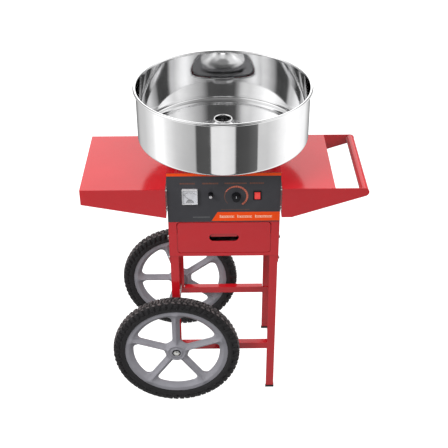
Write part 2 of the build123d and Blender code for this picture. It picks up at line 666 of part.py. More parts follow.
TRAY_FRONT = -INNER_HALF_Y
HEM_NOTCH_Z = SLOT_Z - SLOT_HEIGHT / 2 - HEM_NOTCH
with BuildPart() as drawer_tray:
    with BuildSketch(Plane.XY.offset(TRAY_FLOOR)):
        with Locations((0, (TRAY_FRONT + TRAY_BACK) / 2)):
            Rectangle(2 * TRAY_HALF_X, TRAY_BACK - TRAY_FRONT)
    extrude(amount=TRAY_TOP - TRAY_FLOOR)
    with BuildSketch(Plane.XY.offset(TRAY_FLOOR + TRAY_SHEET)):
        with Locations((0, (TRAY_FRONT + TRAY_BACK) / 2)):
            Rectangle(2 * (TRAY_HALF_X - TRAY_SHEET), TRAY_BACK - TRAY_FRONT - 2 * TRAY_SHEET)
    extrude(amount=TRAY_TOP, mode=Mode.SUBTRACT)
    with BuildSketch(Plane.XZ.offset(-TRAY_FRONT + 1)):
        with Locations((0, (HEM_NOTCH_Z + TRAY_TOP) / 2 + 5)):
            Rectangle(SLOT_LENGTH + HEM_SIDE_GAP, TRAY_TOP - HEM_NOTCH_Z + 10)
    extrude(amount=-TRAY_SHEET - 2, mode=Mode.SUBTRACT)
drawer_tray.part.label = "drawer_tray"
export_step(drawer_tray.part, "parts/drawer_tray.step")

RUNNER_HALF_LENGTH = 148.0
RUNNER_GUIDE_HEIGHT = 20.0
RUNNER_INNER_X, RUNNER_WALL_X, RUNNER_OUTER_X = 120.0, 134.6, 159.5
with BuildPart() as drawer_runners:
    for side_x in (-1, 1):
        with BuildSketch(Plane.XZ.offset(-RUNNER_HALF_LENGTH)):
            with BuildLine():
                Polyline(
                    (side_x * RUNNER_INNER_X, TRAY_FLOOR - TRAY_SHEET),
                    (side_x * RUNNER_INNER_X, TRAY_FLOOR),
                    (side_x * RUNNER_WALL_X, TRAY_FLOOR),
                    (side_x * RUNNER_WALL_X, TRAY_FLOOR + RUNNER_GUIDE_HEIGHT),
                    (side_x * (RUNNER_WALL_X + TRAY_SHEET), TRAY_FLOOR + RUNNER_GUIDE_HEIGHT),
                    (side_x * (RUNNER_WALL_X + TRAY_SHEET), TRAY_FLOOR),
                    (side_x * RUNNER_OUTER_X, TRAY_FLOOR),
                    (side_x * RUNNER_OUTER_X, TRAY_FLOOR - TRAY_SHEET), close=True,
                )
            make_face()
        extrude(amount=2 * RUNNER_HALF_LENGTH)
drawer_runners.part.label = "drawer_runners"
export_step(drawer_runners.part, "parts/drawer_runners.step")

# ---------------------------------------------------------------- bowl
WALL_IN = BOWL_RADIUS - BOWL_SHEET
BEAD_CENTRE_X = BOWL_RADIUS + 3.0
with BuildPart() as bowl_wall:
    with BuildSketch(Plane.XZ):
        with BuildLine():
            Polyline(
                (WALL_IN, BOWL_SEAM), (BOWL_RADIUS, BOWL_SEAM),
                (BOWL_RADIUS, BOWL_BEAD_Z), (WALL_IN, BOWL_BEAD_Z), close=True,
            )
        make_face()
        with Locations((BEAD_CENTRE_X, BOWL_BEAD_Z)):
            Circle(BOWL_BEAD_RADIUS)
    revolve(axis=Axis.Z)
bowl_wall.part.label = "bowl_wall"
export_step(bowl_wall.part, "parts/bowl_wall.step")

FLOOR_EDGE = BOWL_RADIUS - BOWL_CORNER
CORNER_MID = BOWL_CORNER * (1 - cos(radians(45)))
with BuildPart() as bowl_base:
    with BuildSketch(Plane.XZ):
        with BuildLine():
            flat = Line((BOWL_HOLE_RADIUS, BOWL_BOTTOM), (FLOOR_EDGE, BOWL_BOTTOM))
            turn = ThreePointArc(
                flat @ 1, (BOWL_RADIUS - CORNER_MID, BOWL_BOTTOM + CORNER_MID),
                (BOWL_RADIUS, BOWL_BOTTOM + BOWL_CORNER),
            )
            rise = Polyline(turn @ 1, (BOWL_RADIUS, BOWL_SEAM), (WALL_IN, BOWL_SEAM),
                            (WALL_IN, BOWL_BOTTOM + BOWL_CORNER))
            back = ThreePointArc(
                rise @ 1, (WALL_IN - CORNER_MID, BOWL_BOTTOM + BOWL_SHEET + CORNER_MID),
                (FLOOR_EDGE, BOWL_BOTTOM + BOWL_SHEET),
            )
            Polyline(back @ 1, (BOWL_HOLE_RADIUS, BOWL_BOTTOM + BOWL_SHEET), flat @ 0)
        make_face()
    revolve(axis=Axis.Z)
bowl_base.part.label = "bowl_base"
export_step(bowl_base.part, "parts/bowl_base.step")

SEAT_TOP = BOWL_BOTTOM - GASKET_HEIGHT
with BuildPart() as bowl_seat:
    with BuildSketch(Plane.XY.offset(BODY_TOP)):
        Circle(SEAT_RADIUS)
        Circle(SEAT_RADIUS - SEAT_WALL, mode=Mode.SUBTRACT)
    extrude(amount=SEAT_TOP - BODY_TOP)
bowl_seat.part.label = "bowl_seat"
export_step(bowl_seat.part, "parts/bowl_seat.step")

with BuildPart() as bowl_gasket:
    with BuildSketch(Plane.XY.offset(SEAT_TOP)):
        Circle(SEAT_RADIUS + 1)
        Circle(SEAT_RADIUS - SEAT_WALL - 1, mode=Mode.SUBTRACT)
    extrude(amount=GASKET_HEIGHT)
bowl_gasket.part.label = "bowl_gasket"
export_step(bowl_gasket.part, "parts/bowl_gasket.step")

# ---------------------------------------------------------------- motor
MOTOR_TOP = 800.0
MOTOR_BOTTOM = 705.0
MOTOR_RADIUS = 48.0
MOTOR_WALL = 4.0
BEARING_RADIUS = 12.0
BEARING_HEIGHT = 10.0
BEARING_BOSS_RADIUS = 16.0
MOTOR_CHAMFER = 5.0
with BuildPart() as motor:
    with BuildSketch(Plane.XY.offset(MOTOR_BOTTOM)):
        Circle(MOTOR_RADIUS)
    extrude(amount=MOTOR_TOP - MOTOR_BOTTOM)
    chamfer(motor.edges().group_by(Axis.Z)[0], MOTOR_CHAMFER)
    with BuildSketch(Plane.XY.offset(MOTOR_BOTTOM + MOTOR_WALL)):
        Circle(MOTOR_RADIUS - MOTOR_WALL)
    extrude(amount=MOTOR_TOP - MOTOR_BOTTOM - 2 * MOTOR_WALL, mode=Mode.SUBTRACT)
    with BuildSketch(Plane.XY.offset(MOTOR_TOP - MOTOR_WALL - BEARING_HEIGHT)):
        Circle(BEARING_BOSS_RADIUS)
    extrude(amount=BEARING_HEIGHT)
    with BuildSketch(Plane.XY.offset(MOTOR_BOTTOM + MOTOR_WALL)):
        Circle(BEARING_BOSS_RADIUS)
    extrude(amount=BEARING_HEIGHT)
    with BuildSketch(Plane.XY.offset(MOTOR_BOTTOM + 1.5)):
        Circle(BEARING_RADIUS)
    extrude(amount=MOTOR_TOP, mode=Mode.SUBTRACT)
motor.part.label = "motor_housing"
export_step(motor.part, "parts/motor_housing.step")

with BuildPart() as motor_bearings:
    for start in (MOTOR_BOTTOM + MOTOR_WALL, MOTOR_TOP - BEARING_HEIGHT - MOTOR_WALL):
        with BuildSketch(Plane.XY.offset(start)):
            Circle(BEARING_RADIUS - PRESS_FIT)
            Circle(SPINDLE_RADIUS + 0.05, mode=Mode.SUBTRACT)
        extrude(amount=BEARING_HEIGHT)
motor_bearings.part.label = "motor_bearings"
export_step(motor_bearings.part, "parts/motor_bearings.step")

MOUNT_HALF = 72.0
MOUNT_POINT = 60.0
MOUNT_THICK = 3.0
MOUNT_CORNER = 10.0
MOUNT_HOLE_RADIUS = 18.0
ISOLATOR_RADIUS = 9.0
with BuildPart() as motor_mount:
    with BuildSketch(Plane.XY.offset(MOTOR_TOP)):
        RectangleRounded(2 * MOUNT_HALF, 2 * MOUNT_HALF, MOUNT_CORNER)
        Circle(MOUNT_HOLE_RADIUS, mode=Mode.SUBTRACT)
    extrude(amount=MOUNT_THICK)
motor_mount.part.label = "motor_mount"
export_step(motor_mount.part, "parts/motor_mount.step")

with BuildPart() as motor_isolators:
    with BuildSketch(Plane.XY.offset(MOTOR_TOP + MOUNT_THICK)):
        with GridLocations(2 * MOUNT_POINT, 2 * MOUNT_POINT, 2, 2):
            Circle(ISOLATOR_RADIUS)
    extrude(amount=BODY_TOP - SHEET - MOTOR_TOP - MOUNT_THICK)
motor_isolators.part.label = "motor_isolators"
export_step(motor_isolators.part, "parts/motor_isolators.step")

# ---------------------------------------------------------------- spinner head
SPINDLE_BOTTOM = MOTOR_BOTTOM + 2.5
SPINDLE_TOP = 905.0
ROTOR_RADIUS = 34.0
ROTOR_GAP = 3.0
with BuildPart() as spindle:
    with BuildSketch(Plane.XY.offset(SPINDLE_BOTTOM)):
        Circle(SPINDLE_RADIUS)
    extrude(amount=SPINDLE_TOP - SPINDLE_BOTTOM)
    rotor_bottom = MOTOR_BOTTOM + MOTOR_WALL + BEARING_HEIGHT + ROTOR_GAP
    rotor_top = MOTOR_TOP - MOTOR_WALL - BEARING_HEIGHT - ROTOR_GAP
    with BuildSketch(Plane.XY.offset(rotor_bottom)):
        Circle(ROTOR_RADIUS)
    extrude(amount=rotor_top - rotor_bottom)
    chamfer(spindle.edges().group_by(Axis.Z)[-1], 1)
spindle.part.label = "spindle"
export_step(spindle.part, "parts/spindle.step")

HEAD_HUB_RADIUS = 16.0
HEAD_BASE_THICK = 3.0
HEAD_RIM_HEIGHT = 5.0
HEAD_HUB_DROP = 4.0
HEAD_HUB_RISE = 20.0
with BuildPart() as spinner_base:
    with BuildSketch(Plane.XZ):
        with BuildLine():
            Polyline(
                (SPINDLE_RADIUS, HEAD_BASE_Z - HEAD_HUB_DROP), (HEAD_HUB_RADIUS, HEAD_BASE_Z - HEAD_HUB_DROP),
                (HEAD_HUB_RADIUS, HEAD_BASE_Z), (HEAD_BASE_RADIUS, HEAD_BASE_Z),
                (HEAD_BASE_RADIUS, HEAD_BASE_Z + HEAD_RIM_HEIGHT),
                (HEAD_BASE_RADIUS - 2, HEAD_BASE_Z + HEAD_RIM_HEIGHT),
                (HEAD_BASE_RADIUS - 4, HEAD_BASE_Z + HEAD_BASE_THICK),
                (HEAD_HUB_RADIUS, HEAD_BASE_Z + HEAD_BASE_THICK),
                (HEAD_HUB_RADIUS - 3, HEAD_BASE_Z + HEAD_HUB_RISE),
                (SPINDLE_RADIUS, HEAD_BASE_Z + HEAD_HUB_RISE), close=True,
            )
        make_face()
    revolve(axis=Axis.Z)
spinner_base.part.label = "spinner_base"
export_step(spinner_base.part, "parts/spinner_base.step")

HEATER_RADIUS = 50.0
HEATER_Z = 888.0
HEATER_WIRE = 4.0
HEATER_POSTS = 4
HEATER_POST_RADIUS = 2.5
with BuildPart() as heater_ring:
    with BuildSketch(Plane.XZ):
        with Locations((HEATER_RADIUS, HEATER_Z)):
            Circle(HEATER_WIRE)
    revolve(axis=Axis.Z)
    with BuildSketch(Plane.XY.offset(HEAD_BASE_Z + HEAD_BASE_THICK)):
        with PolarLocations(HEATER_RADIUS, HEATER_POSTS):
            Circle(HEATER_POST_RADIUS)
    extrude(amount=HEATER_Z - HEAD_BASE_Z - HEAD_BASE_THICK)
heater_ring.part.label = "heater_ring"
export_step(heater_ring.part, "parts/heater_ring.step")

# The cover is a bell: a skirt, a concave cone and a beaded mouth.
BELL_SHEET = 1.2
MOUTH_RADIUS = HEAD_RING_RADIUS - 1.0
SKIRT_HEIGHT = 11.0
COVER_POSTS = 4
COVER_POST_RADIUS = 2.4
with BuildPart() as spinner_cover:
    with BuildSketch(Plane.XZ):
        with BuildLine():
            skirt = Polyline(
                (HEAD_CONE_RADIUS - BELL_SHEET, HEAD_CONE_BOTTOM),
                (HEAD_CONE_RADIUS, HEAD_CONE_BOTTOM),
                (HEAD_CONE_RADIUS, HEAD_CONE_BOTTOM + SKIRT_HEIGHT),
            )
            bell = ThreePointArc(
                skirt @ 1, (41.0, HEAD_CONE_BOTTOM + 21),
                (MOUTH_RADIUS + BELL_SHEET, HEAD_RING_Z),
            )
            top = Line(bell @ 1, (MOUTH_RADIUS, HEAD_RING_Z))
            inside = ThreePointArc(
                top @ 1, (40.2, HEAD_CONE_BOTTOM + 20),
                (HEAD_CONE_RADIUS - BELL_SHEET, HEAD_CONE_BOTTOM + SKIRT_HEIGHT - 1),
            )
            Line(inside @ 1, skirt @ 0)
        make_face()
        with Locations((HEAD_RING_RADIUS, HEAD_RING_Z)):
            Circle(HEAD_RING_BEAD)
    revolve(axis=Axis.Z)
    with BuildSketch(Plane.XY.offset(HEAD_BASE_Z + HEAD_BASE_THICK)):
        with PolarLocations(HEAD_CONE_RADIUS - 2.5, COVER_POSTS, start_angle=45):
            Circle(COVER_POST_RADIUS)
    extrude(amount=HEAD_CONE_BOTTOM + SKIRT_HEIGHT - 1 - HEAD_BASE_Z - HEAD_BASE_THICK)
spinner_cover.part.label = "spinner_cover"
export_step(spinner_cover.part, "parts/spinner_cover.step")

SLIP_RADIUS = 26.0
SLIP_HUB_BOTTOM, SLIP_HUB_TOP = 838.0, 866.0
SLIP_RING_STARTS = (842.0, 855.0)
SLIP_RING_HEIGHT = 7.0
SLIP_RING_DEPTH = 3.0
with BuildPart() as slip_rings:
    with BuildSketch(Plane.XY.offset(SLIP_HUB_BOTTOM)):
        Circle(SLIP_RADIUS - SLIP_RING_DEPTH)
        Circle(SPINDLE_RADIUS + PRESS_FIT, mode=Mode.SUBTRACT)
    extrude(amount=SLIP_HUB_TOP - SLIP_HUB_BOTTOM)
    for start in SLIP_RING_STARTS:
        with BuildSketch(Plane.XY.offset(start)):
            Circle(SLIP_RADIUS)
            Circle(SLIP_RADIUS - SLIP_RING_DEPTH, mode=Mode.SUBTRACT)
        extrude(amount=SLIP_RING_HEIGHT)
slip_rings.part.label = "slip_rings"
export_step(slip_rings.part, "parts/slip_rings.step")

BRUSH_GAP = 0.4
BRUSH_LENGTH = 22.0
BRUSH_WIDTH, BRUSH_HEIGHT = 8.0, 5.0
BRUSH_FIT = 0.2
HOLDER_WIDTH, HOLDER_DEPTH, HOLDER_HEIGHT = 24.0, 26.0, 34.0
with BuildPart() as brush_holder:
    with BuildSketch(Plane.XY.offset(BODY_TOP)):
        with Locations((0, SLIP_RADIUS + BRUSH_LENGTH)):
            Rectangle(HOLDER_WIDTH, HOLDER_DEPTH)
    extrude(amount=HOLDER_HEIGHT)
    for start in SLIP_RING_STARTS:
        with BuildSketch(Plane.XZ.offset(-SLIP_RADIUS)):
            with Locations((0, start + SLIP_RING_HEIGHT / 2)):
                Rectangle(BRUSH_WIDTH + BRUSH_FIT, BRUSH_HEIGHT + BRUSH_FIT)
        extrude(amount=-BRUSH_LENGTH - 2, mode=Mode.SUBTRACT)
brush_holder.part.label = "brush_holder"
export_step(brush_holder.part, "parts/brush_holder.step")

with BuildPart() as carbon_brushes:
    for start in SLIP_RING_STARTS:
        with BuildSketch(Plane.XZ.offset(-SLIP_RADIUS - BRUSH_GAP)):
            with Locations((0, start + SLIP_RING_HEIGHT / 2)):
                Rectangle(BRUSH_WIDTH, BRUSH_HEIGHT)
        extrude(amount=-BRUSH_LENGTH)
carbon_brushes.part.label = "carbon_brushes"
export_step(carbon_brushes.part, "parts/carbon_brushes.step")

# ---------------------------------------------------------------- controls
METER_FRONT = -PANEL_FACE + METER_DEPTH
METER_WALL = 1.5
METER_POCKET = 6.0
METER_BODY_LENGTH = 35.0
with BuildPart() as voltmeter_case:
    with BuildSketch(Plane.XZ.offset(-PANEL_FACE)):
        with Locations((METER_X, METER_Z)):
            RectangleRounded(METER_WIDTH, METER_HEIGHT, METER_WALL)
    extrude(amount=METER_DEPTH)
    with BuildSketch(Plane.XZ.offset(METER_FRONT - METER_POCKET)):
        with Locations((METER_X, METER_Z)):
            RectangleRounded(METER_WIDTH - 2 * METER_WALL, METER_HEIGHT - 2 * METER_WALL, 1)
    extrude(amount=METER_POCKET, mode=Mode.SUBTRACT)
    with BuildSketch(Plane.XZ.offset(-PANEL_FACE)):
        with Locations((METER_X, METER_Z)):
            Circle(METER_HOLE_RADIUS - 0.5)
    extrude(amount=-METER_BODY_LENGTH)
voltmeter_case.part.label = "voltmeter_case"
export_step(voltmeter_case.part, "parts/voltmeter_case.step")

NEEDLE_PIVOT_Z = METER_Z - 12.0
NEEDLE_LENGTH = 27.0
NEEDLE_ANGLE = 135.0        # resting direction, measured from +X towards +Z
NEEDLE_THICK = 0.9
with BuildPart() as meter_needle:
    with BuildSketch(Plane.XZ.offset(METER_FRONT - 5.2)):
        with Locations((METER_X, NEEDLE_PIVOT_Z)):
            Circle(2.2)
            with Locations(Rotation(0, 0, NEEDLE_ANGLE)):
                Rectangle(NEEDLE_LENGTH, NEEDLE_THICK, align=(Align.MIN, Align.CENTER))
    extrude(amount=NEEDLE_THICK)
meter_needle.part.label = "meter_needle"
export_step(meter_needle.part, "parts/meter_needle.step")

GLASS_BORDER = 2 * METER_WALL + 0.4
GLASS_THICK = 1.5
with BuildPart() as voltmeter_glass:
    with BuildSketch(Plane.XZ.offset(METER_FRONT - 2)):
        with Locations((METER_X, METER_Z)):
            RectangleRounded(METER_WIDTH - GLASS_BORDER, METER_HEIGHT - GLASS_BORDER, 1)
    extrude(amount=GLASS_THICK)
voltmeter_glass.part.label = "voltmeter_glass"
export_step(voltmeter_glass.part, "parts/voltmeter_glass.step")

FUSE_BODY_LENGTH = 34.0
FUSE_FLANGE_HEIGHT = 2.5
FUSE_BORE_RADIUS = 4.6
FUSE_STEM_RADIUS, FUSE_STEM_LENGTH = 4.2, 24.0
FUSE_CAP_RADIUS, FUSE_CAP_HEIGHT = 5.6, 13.5
FUSE_TIP_RADIUS, FUSE_TIP_HEIGHT = 4.8, 3.5
FUSE_CAP_START = FUSE_FLANGE_HEIGHT + 0.3
with BuildPart() as fuse_socket:
    with BuildSketch(Plane.XZ.offset(-PANEL_FACE)):
        with Locations((FUSE_X, FUSE_Z)):
            Circle(FUSE_FLANGE_RADIUS)
    extrude(amount=FUSE_FLANGE_HEIGHT)
    with BuildSketch(Plane.XZ.offset(-PANEL_FACE)):
        with Locations((FUSE_X, FUSE_Z)):
            Circle(FUSE_FLANGE_RADIUS - 1.3)
    extrude(amount=-FUSE_BODY_LENGTH)
    with BuildSketch(Plane.XZ.offset(-PANEL_FACE + FUSE_FLANGE_HEIGHT)):
        with Locations((FUSE_X, FUSE_Z)):
            Circle(FUSE_BORE_RADIUS)
    extrude(amount=-FUSE_BODY_LENGTH, mode=Mode.SUBTRACT)
fuse_socket.part.label = "fuse_socket"
export_step(fuse_socket.part, "parts/fuse_socket.step")

with BuildPart() as fuse_carrier:
    with BuildSketch(Plane.XZ.offset(-PANEL_FACE + FUSE_CAP_START)):
        with Locations((FUSE_X, FUSE_Z)):
            Circle(FUSE_CAP_RADIUS)
    extrude(amount=FUSE_CAP_HEIGHT)
    with BuildSketch(Plane.XZ.offset(-PANEL_FACE + FUSE_CAP_START + FUSE_CAP_HEIGHT)):
        with Locations((FUSE_X, FUSE_Z)):
            Circle(FUSE_TIP_RADIUS)
    extrude(amount=FUSE_TIP_HEIGHT)
    chamfer(fuse_carrier.edges().group_by(Axis.Y)[0], 1)
    with BuildSketch(Plane.XZ.offset(-PANEL_FACE + FUSE_CAP_START)):
        with Locations((FUSE_X, FUSE_Z)):
            Circle(FUSE_STEM_RADIUS)
    extrude(amount=-FUSE_STEM_LENGTH)
fuse_carrier.part.label = "fuse_carrier"
export_step(fuse_carrier.part, "parts/fuse_carrier.step")

POT_RADIUS, POT_DEPTH, POT_BORE_DEPTH = 14.0, 16.0, 12.0
POT_PLANE = Plane.XZ.offset(INNER_HALF_Y)
with BuildPart() as potentiometer:
    with BuildSketch(POT_PLANE):
        with Locations((KNOB_X, KNOB_Z)):
            Circle(POT_RADIUS)
    extrude(amount=-POT_DEPTH)
    with BuildSketch(POT_PLANE):
        with Locations((KNOB_X, KNOB_Z)):
            Circle(SHAFT_BUSH_RADIUS)
            Circle(SHAFT_RADIUS + HOLE_MARGIN, mode=Mode.SUBTRACT)
    extrude(amount=PANEL_THICK + SHEET)
    with BuildSketch(POT_PLANE):
        with Locations((KNOB_X, KNOB_Z)):
            Circle(SHAFT_RADIUS + HOLE_MARGIN)
    extrude(amount=-POT_BORE_DEPTH, mode=Mode.SUBTRACT)
potentiometer.part.label = "potentiometer"
export_step(potentiometer.part, "parts/potentiometer.step")

KNOB_GAP = 0.6
KNOB_SKIRT_HEIGHT = 3.0
KNOB_SKIRT_LIP = 1.5
KNOB_FLUTES, FLUTE_RADIUS = 18, 1.1
KNOB_TAPER = 4
SHAFT_LENGTH = 14.0
with BuildPart() as knob:
    with BuildSketch(Plane.XZ.offset(-PANEL_FACE + KNOB_GAP)):
        with Locations((KNOB_X, KNOB_Z)):
            Circle(KNOB_RADIUS + KNOB_SKIRT_LIP)
    extrude(amount=KNOB_SKIRT_HEIGHT)
    with BuildSketch(Plane.XZ.offset(-PANEL_FACE + KNOB_GAP + KNOB_SKIRT_HEIGHT)):
        with Locations((KNOB_X, KNOB_Z)):
            Circle(KNOB_RADIUS)
            with PolarLocations(KNOB_RADIUS + 0.4, KNOB_FLUTES):
                Circle(FLUTE_RADIUS, mode=Mode.SUBTRACT)
    extrude(amount=KNOB_HEIGHT - KNOB_SKIRT_HEIGHT, taper=KNOB_TAPER)
    with BuildSketch(Plane.XZ.offset(-PANEL_FACE + KNOB_GAP)):
        with Locations((KNOB_X, KNOB_Z)):
            Circle(SHAFT_RADIUS)
    extrude(amount=-SHAFT_LENGTH)
knob.part.label = "control_knob"
export_step(knob.part, "parts/control_knob.step")

BEZEL_HEIGHT = 2.5
SWITCH_BODY_DEPTH, SWITCH_WELL_DEPTH = 26.0, 16.0
BODY_BORDER = SWITCH_BORDER + 0.4
ROCKER_HALF_WIDTH = SWITCH_WIDTH / 2 - 3.5
ROCKER_HALF_HEIGHT = SWITCH_HEIGHT / 2 - 3.5
with BuildPart() as switch_bezel:
    with BuildSketch(Plane.XZ.offset(-PANEL_FACE)):
        with Locations((SWITCH_X, SWITCH_Z)):
            RectangleRounded(SWITCH_WIDTH, SWITCH_HEIGHT, 2)
    extrude(amount=BEZEL_HEIGHT)
    with BuildSketch(Plane.XZ.offset(-PANEL_FACE)):
        with Locations((SWITCH_X, SWITCH_Z)):
            Rectangle(SWITCH_WIDTH - BODY_BORDER, SWITCH_HEIGHT - BODY_BORDER)
    extrude(amount=-SWITCH_BODY_DEPTH)
    with BuildSketch(Plane.XZ.offset(-PANEL_FACE + BEZEL_HEIGHT)):
        with Locations((SWITCH_X, SWITCH_Z)):
            Rectangle(2 * ROCKER_HALF_WIDTH + 1, 2 * ROCKER_HALF_HEIGHT + 1)
    extrude(amount=-SWITCH_WELL_DEPTH, mode=Mode.SUBTRACT)
switch_bezel.part.label = "switch_bezel"
export_step(switch_bezel.part, "parts/switch_bezel.step")

ROCKER_LOW = SWITCH_Z - ROCKER_HALF_HEIGHT
ROCKER_HIGH = SWITCH_Z + ROCKER_HALF_HEIGHT
# The rocker's face is a shallow V, so one half is flush and the other stands out.
with BuildPart() as switch_rocker:
    with BuildSketch(Plane.YZ.offset(SWITCH_X - ROCKER_HALF_WIDTH)):
        with BuildLine():
            Polyline(
                (PANEL_FACE + 1.5, ROCKER_LOW + 2.5), (PANEL_FACE - 5.2, ROCKER_LOW + 0.8),
                (PANEL_FACE - 2.6, SWITCH_Z), (PANEL_FACE - 2.4, ROCKER_HIGH - 0.3),
                (PANEL_FACE + 4.5, ROCKER_HIGH - 2.0), (PANEL_FACE + 7.0, SWITCH_Z), close=True,
            )
        make_face()
    extrude(amount=2 * ROCKER_HALF_WIDTH)
switch_rocker.part.label = "switch_rocker"
export_step(switch_rocker.part, "parts/switch_rocker.step")

BOARD_X, BOARD_Y, BOARD_Z = -95.0, -90.0, 705.0
BOARD_LENGTH, BOARD_HEIGHT, BOARD_THICK = 90.0, 60.0, 1.6
COMPONENT_HEIGHT = 16.0
BRACKET_HEIGHT = 12.0
with BuildPart() as control_board:
    with BuildSketch(Plane.XZ.offset(-BOARD_Y)):
        with Locations((BOARD_X, BOARD_Z)):
            Rectangle(BOARD_LENGTH, BOARD_HEIGHT)
    extrude(amount=BOARD_THICK)
    with BuildSketch(Plane.XZ.offset(-BOARD_Y + BOARD_THICK)):
        with Locations((BOARD_X - 25, BOARD_Z + 10)):
            Rectangle(28, 30)
        with Locations((BOARD_X + 20, BOARD_Z - 5)):
            Circle(9)
    extrude(amount=COMPONENT_HEIGHT)
    with BuildSketch(Plane.XY.offset(DIVIDER_TOP)):
        with Locations((BOARD_X - 35, BOARD_Y - 5), (BOARD_X + 35, BOARD_Y - 5)):
            Rectangle(8, 14)
    extrude(amount=BRACKET_HEIGHT)
control_board.part.label = "control_board"
export_step(control_board.part, "parts/control_board.step")

GLAND_NUT_RADIUS, GLAND_NUT_HEIGHT = 12.0, 7.0
GLAND_COLLAR_RADIUS, GLAND_COLLAR_HEIGHT = 9.0, 6.0
GLAND_THREAD_LENGTH = 12.0
with BuildPart() as cord_gland:
    with BuildSketch(Plane.XZ.offset(-BODY_HALF_Y)):
        with Locations((GLAND_X, GLAND_Z)):
            RegularPolygon(GLAND_NUT_RADIUS, 6)
            Circle(CORD_BORE_RADIUS, mode=Mode.SUBTRACT)
    extrude(amount=-GLAND_NUT_HEIGHT)
    with BuildSketch(Plane.XZ.offset(-BODY_HALF_Y - GLAND_NUT_HEIGHT)):
        with Locations((GLAND_X, GLAND_Z)):
            Circle(GLAND_COLLAR_RADIUS)
            Circle(CORD_BORE_RADIUS, mode=Mode.SUBTRACT)
    extrude(amount=-GLAND_COLLAR_HEIGHT)
    with BuildSketch(Plane.XZ.offset(-BODY_HALF_Y)):
        with Locations((GLAND_X, GLAND_Z)):
            Circle(GLAND_RADIUS)
            Circle(CORD_BORE_RADIUS, mode=Mode.SUBTRACT)
    extrude(amount=GLAND_THREAD_LENGTH)
cord_gland.part.label = "cord_gland"
export_step(cord_gland.part, "parts/cord_gland.step")
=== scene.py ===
import json
import math
import random

import bmesh
import bpy
import numpy as np
from mathutils import Matrix, Vector

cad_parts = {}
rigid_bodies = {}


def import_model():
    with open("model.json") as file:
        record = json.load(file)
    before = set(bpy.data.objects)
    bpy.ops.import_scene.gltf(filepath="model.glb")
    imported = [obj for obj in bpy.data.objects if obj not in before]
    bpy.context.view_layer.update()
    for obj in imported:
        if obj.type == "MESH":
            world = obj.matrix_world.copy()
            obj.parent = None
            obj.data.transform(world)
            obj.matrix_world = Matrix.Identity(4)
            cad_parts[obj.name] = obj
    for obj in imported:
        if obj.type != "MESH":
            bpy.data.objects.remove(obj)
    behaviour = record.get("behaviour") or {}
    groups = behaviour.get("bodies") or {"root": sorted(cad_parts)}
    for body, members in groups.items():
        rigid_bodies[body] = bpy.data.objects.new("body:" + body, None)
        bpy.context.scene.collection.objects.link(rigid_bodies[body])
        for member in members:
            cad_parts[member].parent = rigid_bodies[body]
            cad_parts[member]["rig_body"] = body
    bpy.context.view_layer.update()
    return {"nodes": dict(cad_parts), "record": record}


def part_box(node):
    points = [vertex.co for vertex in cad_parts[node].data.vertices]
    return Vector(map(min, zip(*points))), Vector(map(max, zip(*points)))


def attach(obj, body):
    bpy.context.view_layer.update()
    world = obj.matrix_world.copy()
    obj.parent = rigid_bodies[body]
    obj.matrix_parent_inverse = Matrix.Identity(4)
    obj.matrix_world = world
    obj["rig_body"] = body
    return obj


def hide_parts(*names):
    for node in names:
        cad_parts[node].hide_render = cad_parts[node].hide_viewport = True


MM = 0.001
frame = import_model()
nodes = frame["nodes"]
SLOT_OF = {row["node"]: row["material_slot"] for row in frame["record"]["subparts"]}


# ------------------------------------------------------------------ camera
PITCH = math.radians(33.03)
YAW = math.radians(0.50)
ROLL = math.radians(-0.23)
camera_data = bpy.data.cameras.new("camera")
camera_data.lens = 71.5
camera_data.sensor_width = 36.0
camera_data.clip_end = 50.0
camera = bpy.data.objects.new("camera", camera_data)
bpy.context.scene.collection.objects.link(camera)
forward = Vector(
    (math.sin(YAW) * math.cos(PITCH), math.cos(YAW) * math.cos(PITCH), -math.sin(PITCH))
)
right = forward.cross(Vector((0, 0, 1))).normalized()
up = right.cross(forward)
rolled_right = right * math.cos(ROLL) + up * math.sin(ROLL)
rolled_up = up * math.cos(ROLL) - right * math.sin(ROLL)
EYE = (-0.01905, -2.367, 2.092)
camera.matrix_world = Matrix.Translation(EYE) @ Matrix(
    (rolled_right, rolled_up, -forward)
).transposed().to_4x4()
bpy.context.scene.camera = camera


# ------------------------------------------------------------------ shader helpers
class Graph:
    """Nodes of one material or of the world, made by short calls."""

    def __init__(self, owner):
        owner.use_nodes = True
        self.tree = owner.node_tree

    def feed(self, socket, value):
        """Link or set a socket; a tuple is a colour without its alpha."""
        if isinstance(value, bpy.types.NodeSocket):
            self.tree.links.new(value, socket)
        else:
            socket.default_value = (*value, 1.0) if isinstance(value, tuple) else value

    def node(self, kind, values=None, **attributes):
        made = self.tree.nodes.new("ShaderNode" + kind)
        for key, value in attributes.items():
            setattr(made, key, value)
        for key, value in (values or {}).items():
            self.feed(made.inputs[key], value)
        return made

    def math(self, operation, a, b=0.0, c=0.0):
        return self.node("Math", {0: a, 1: b, 2: c}, operation=operation).outputs[0]


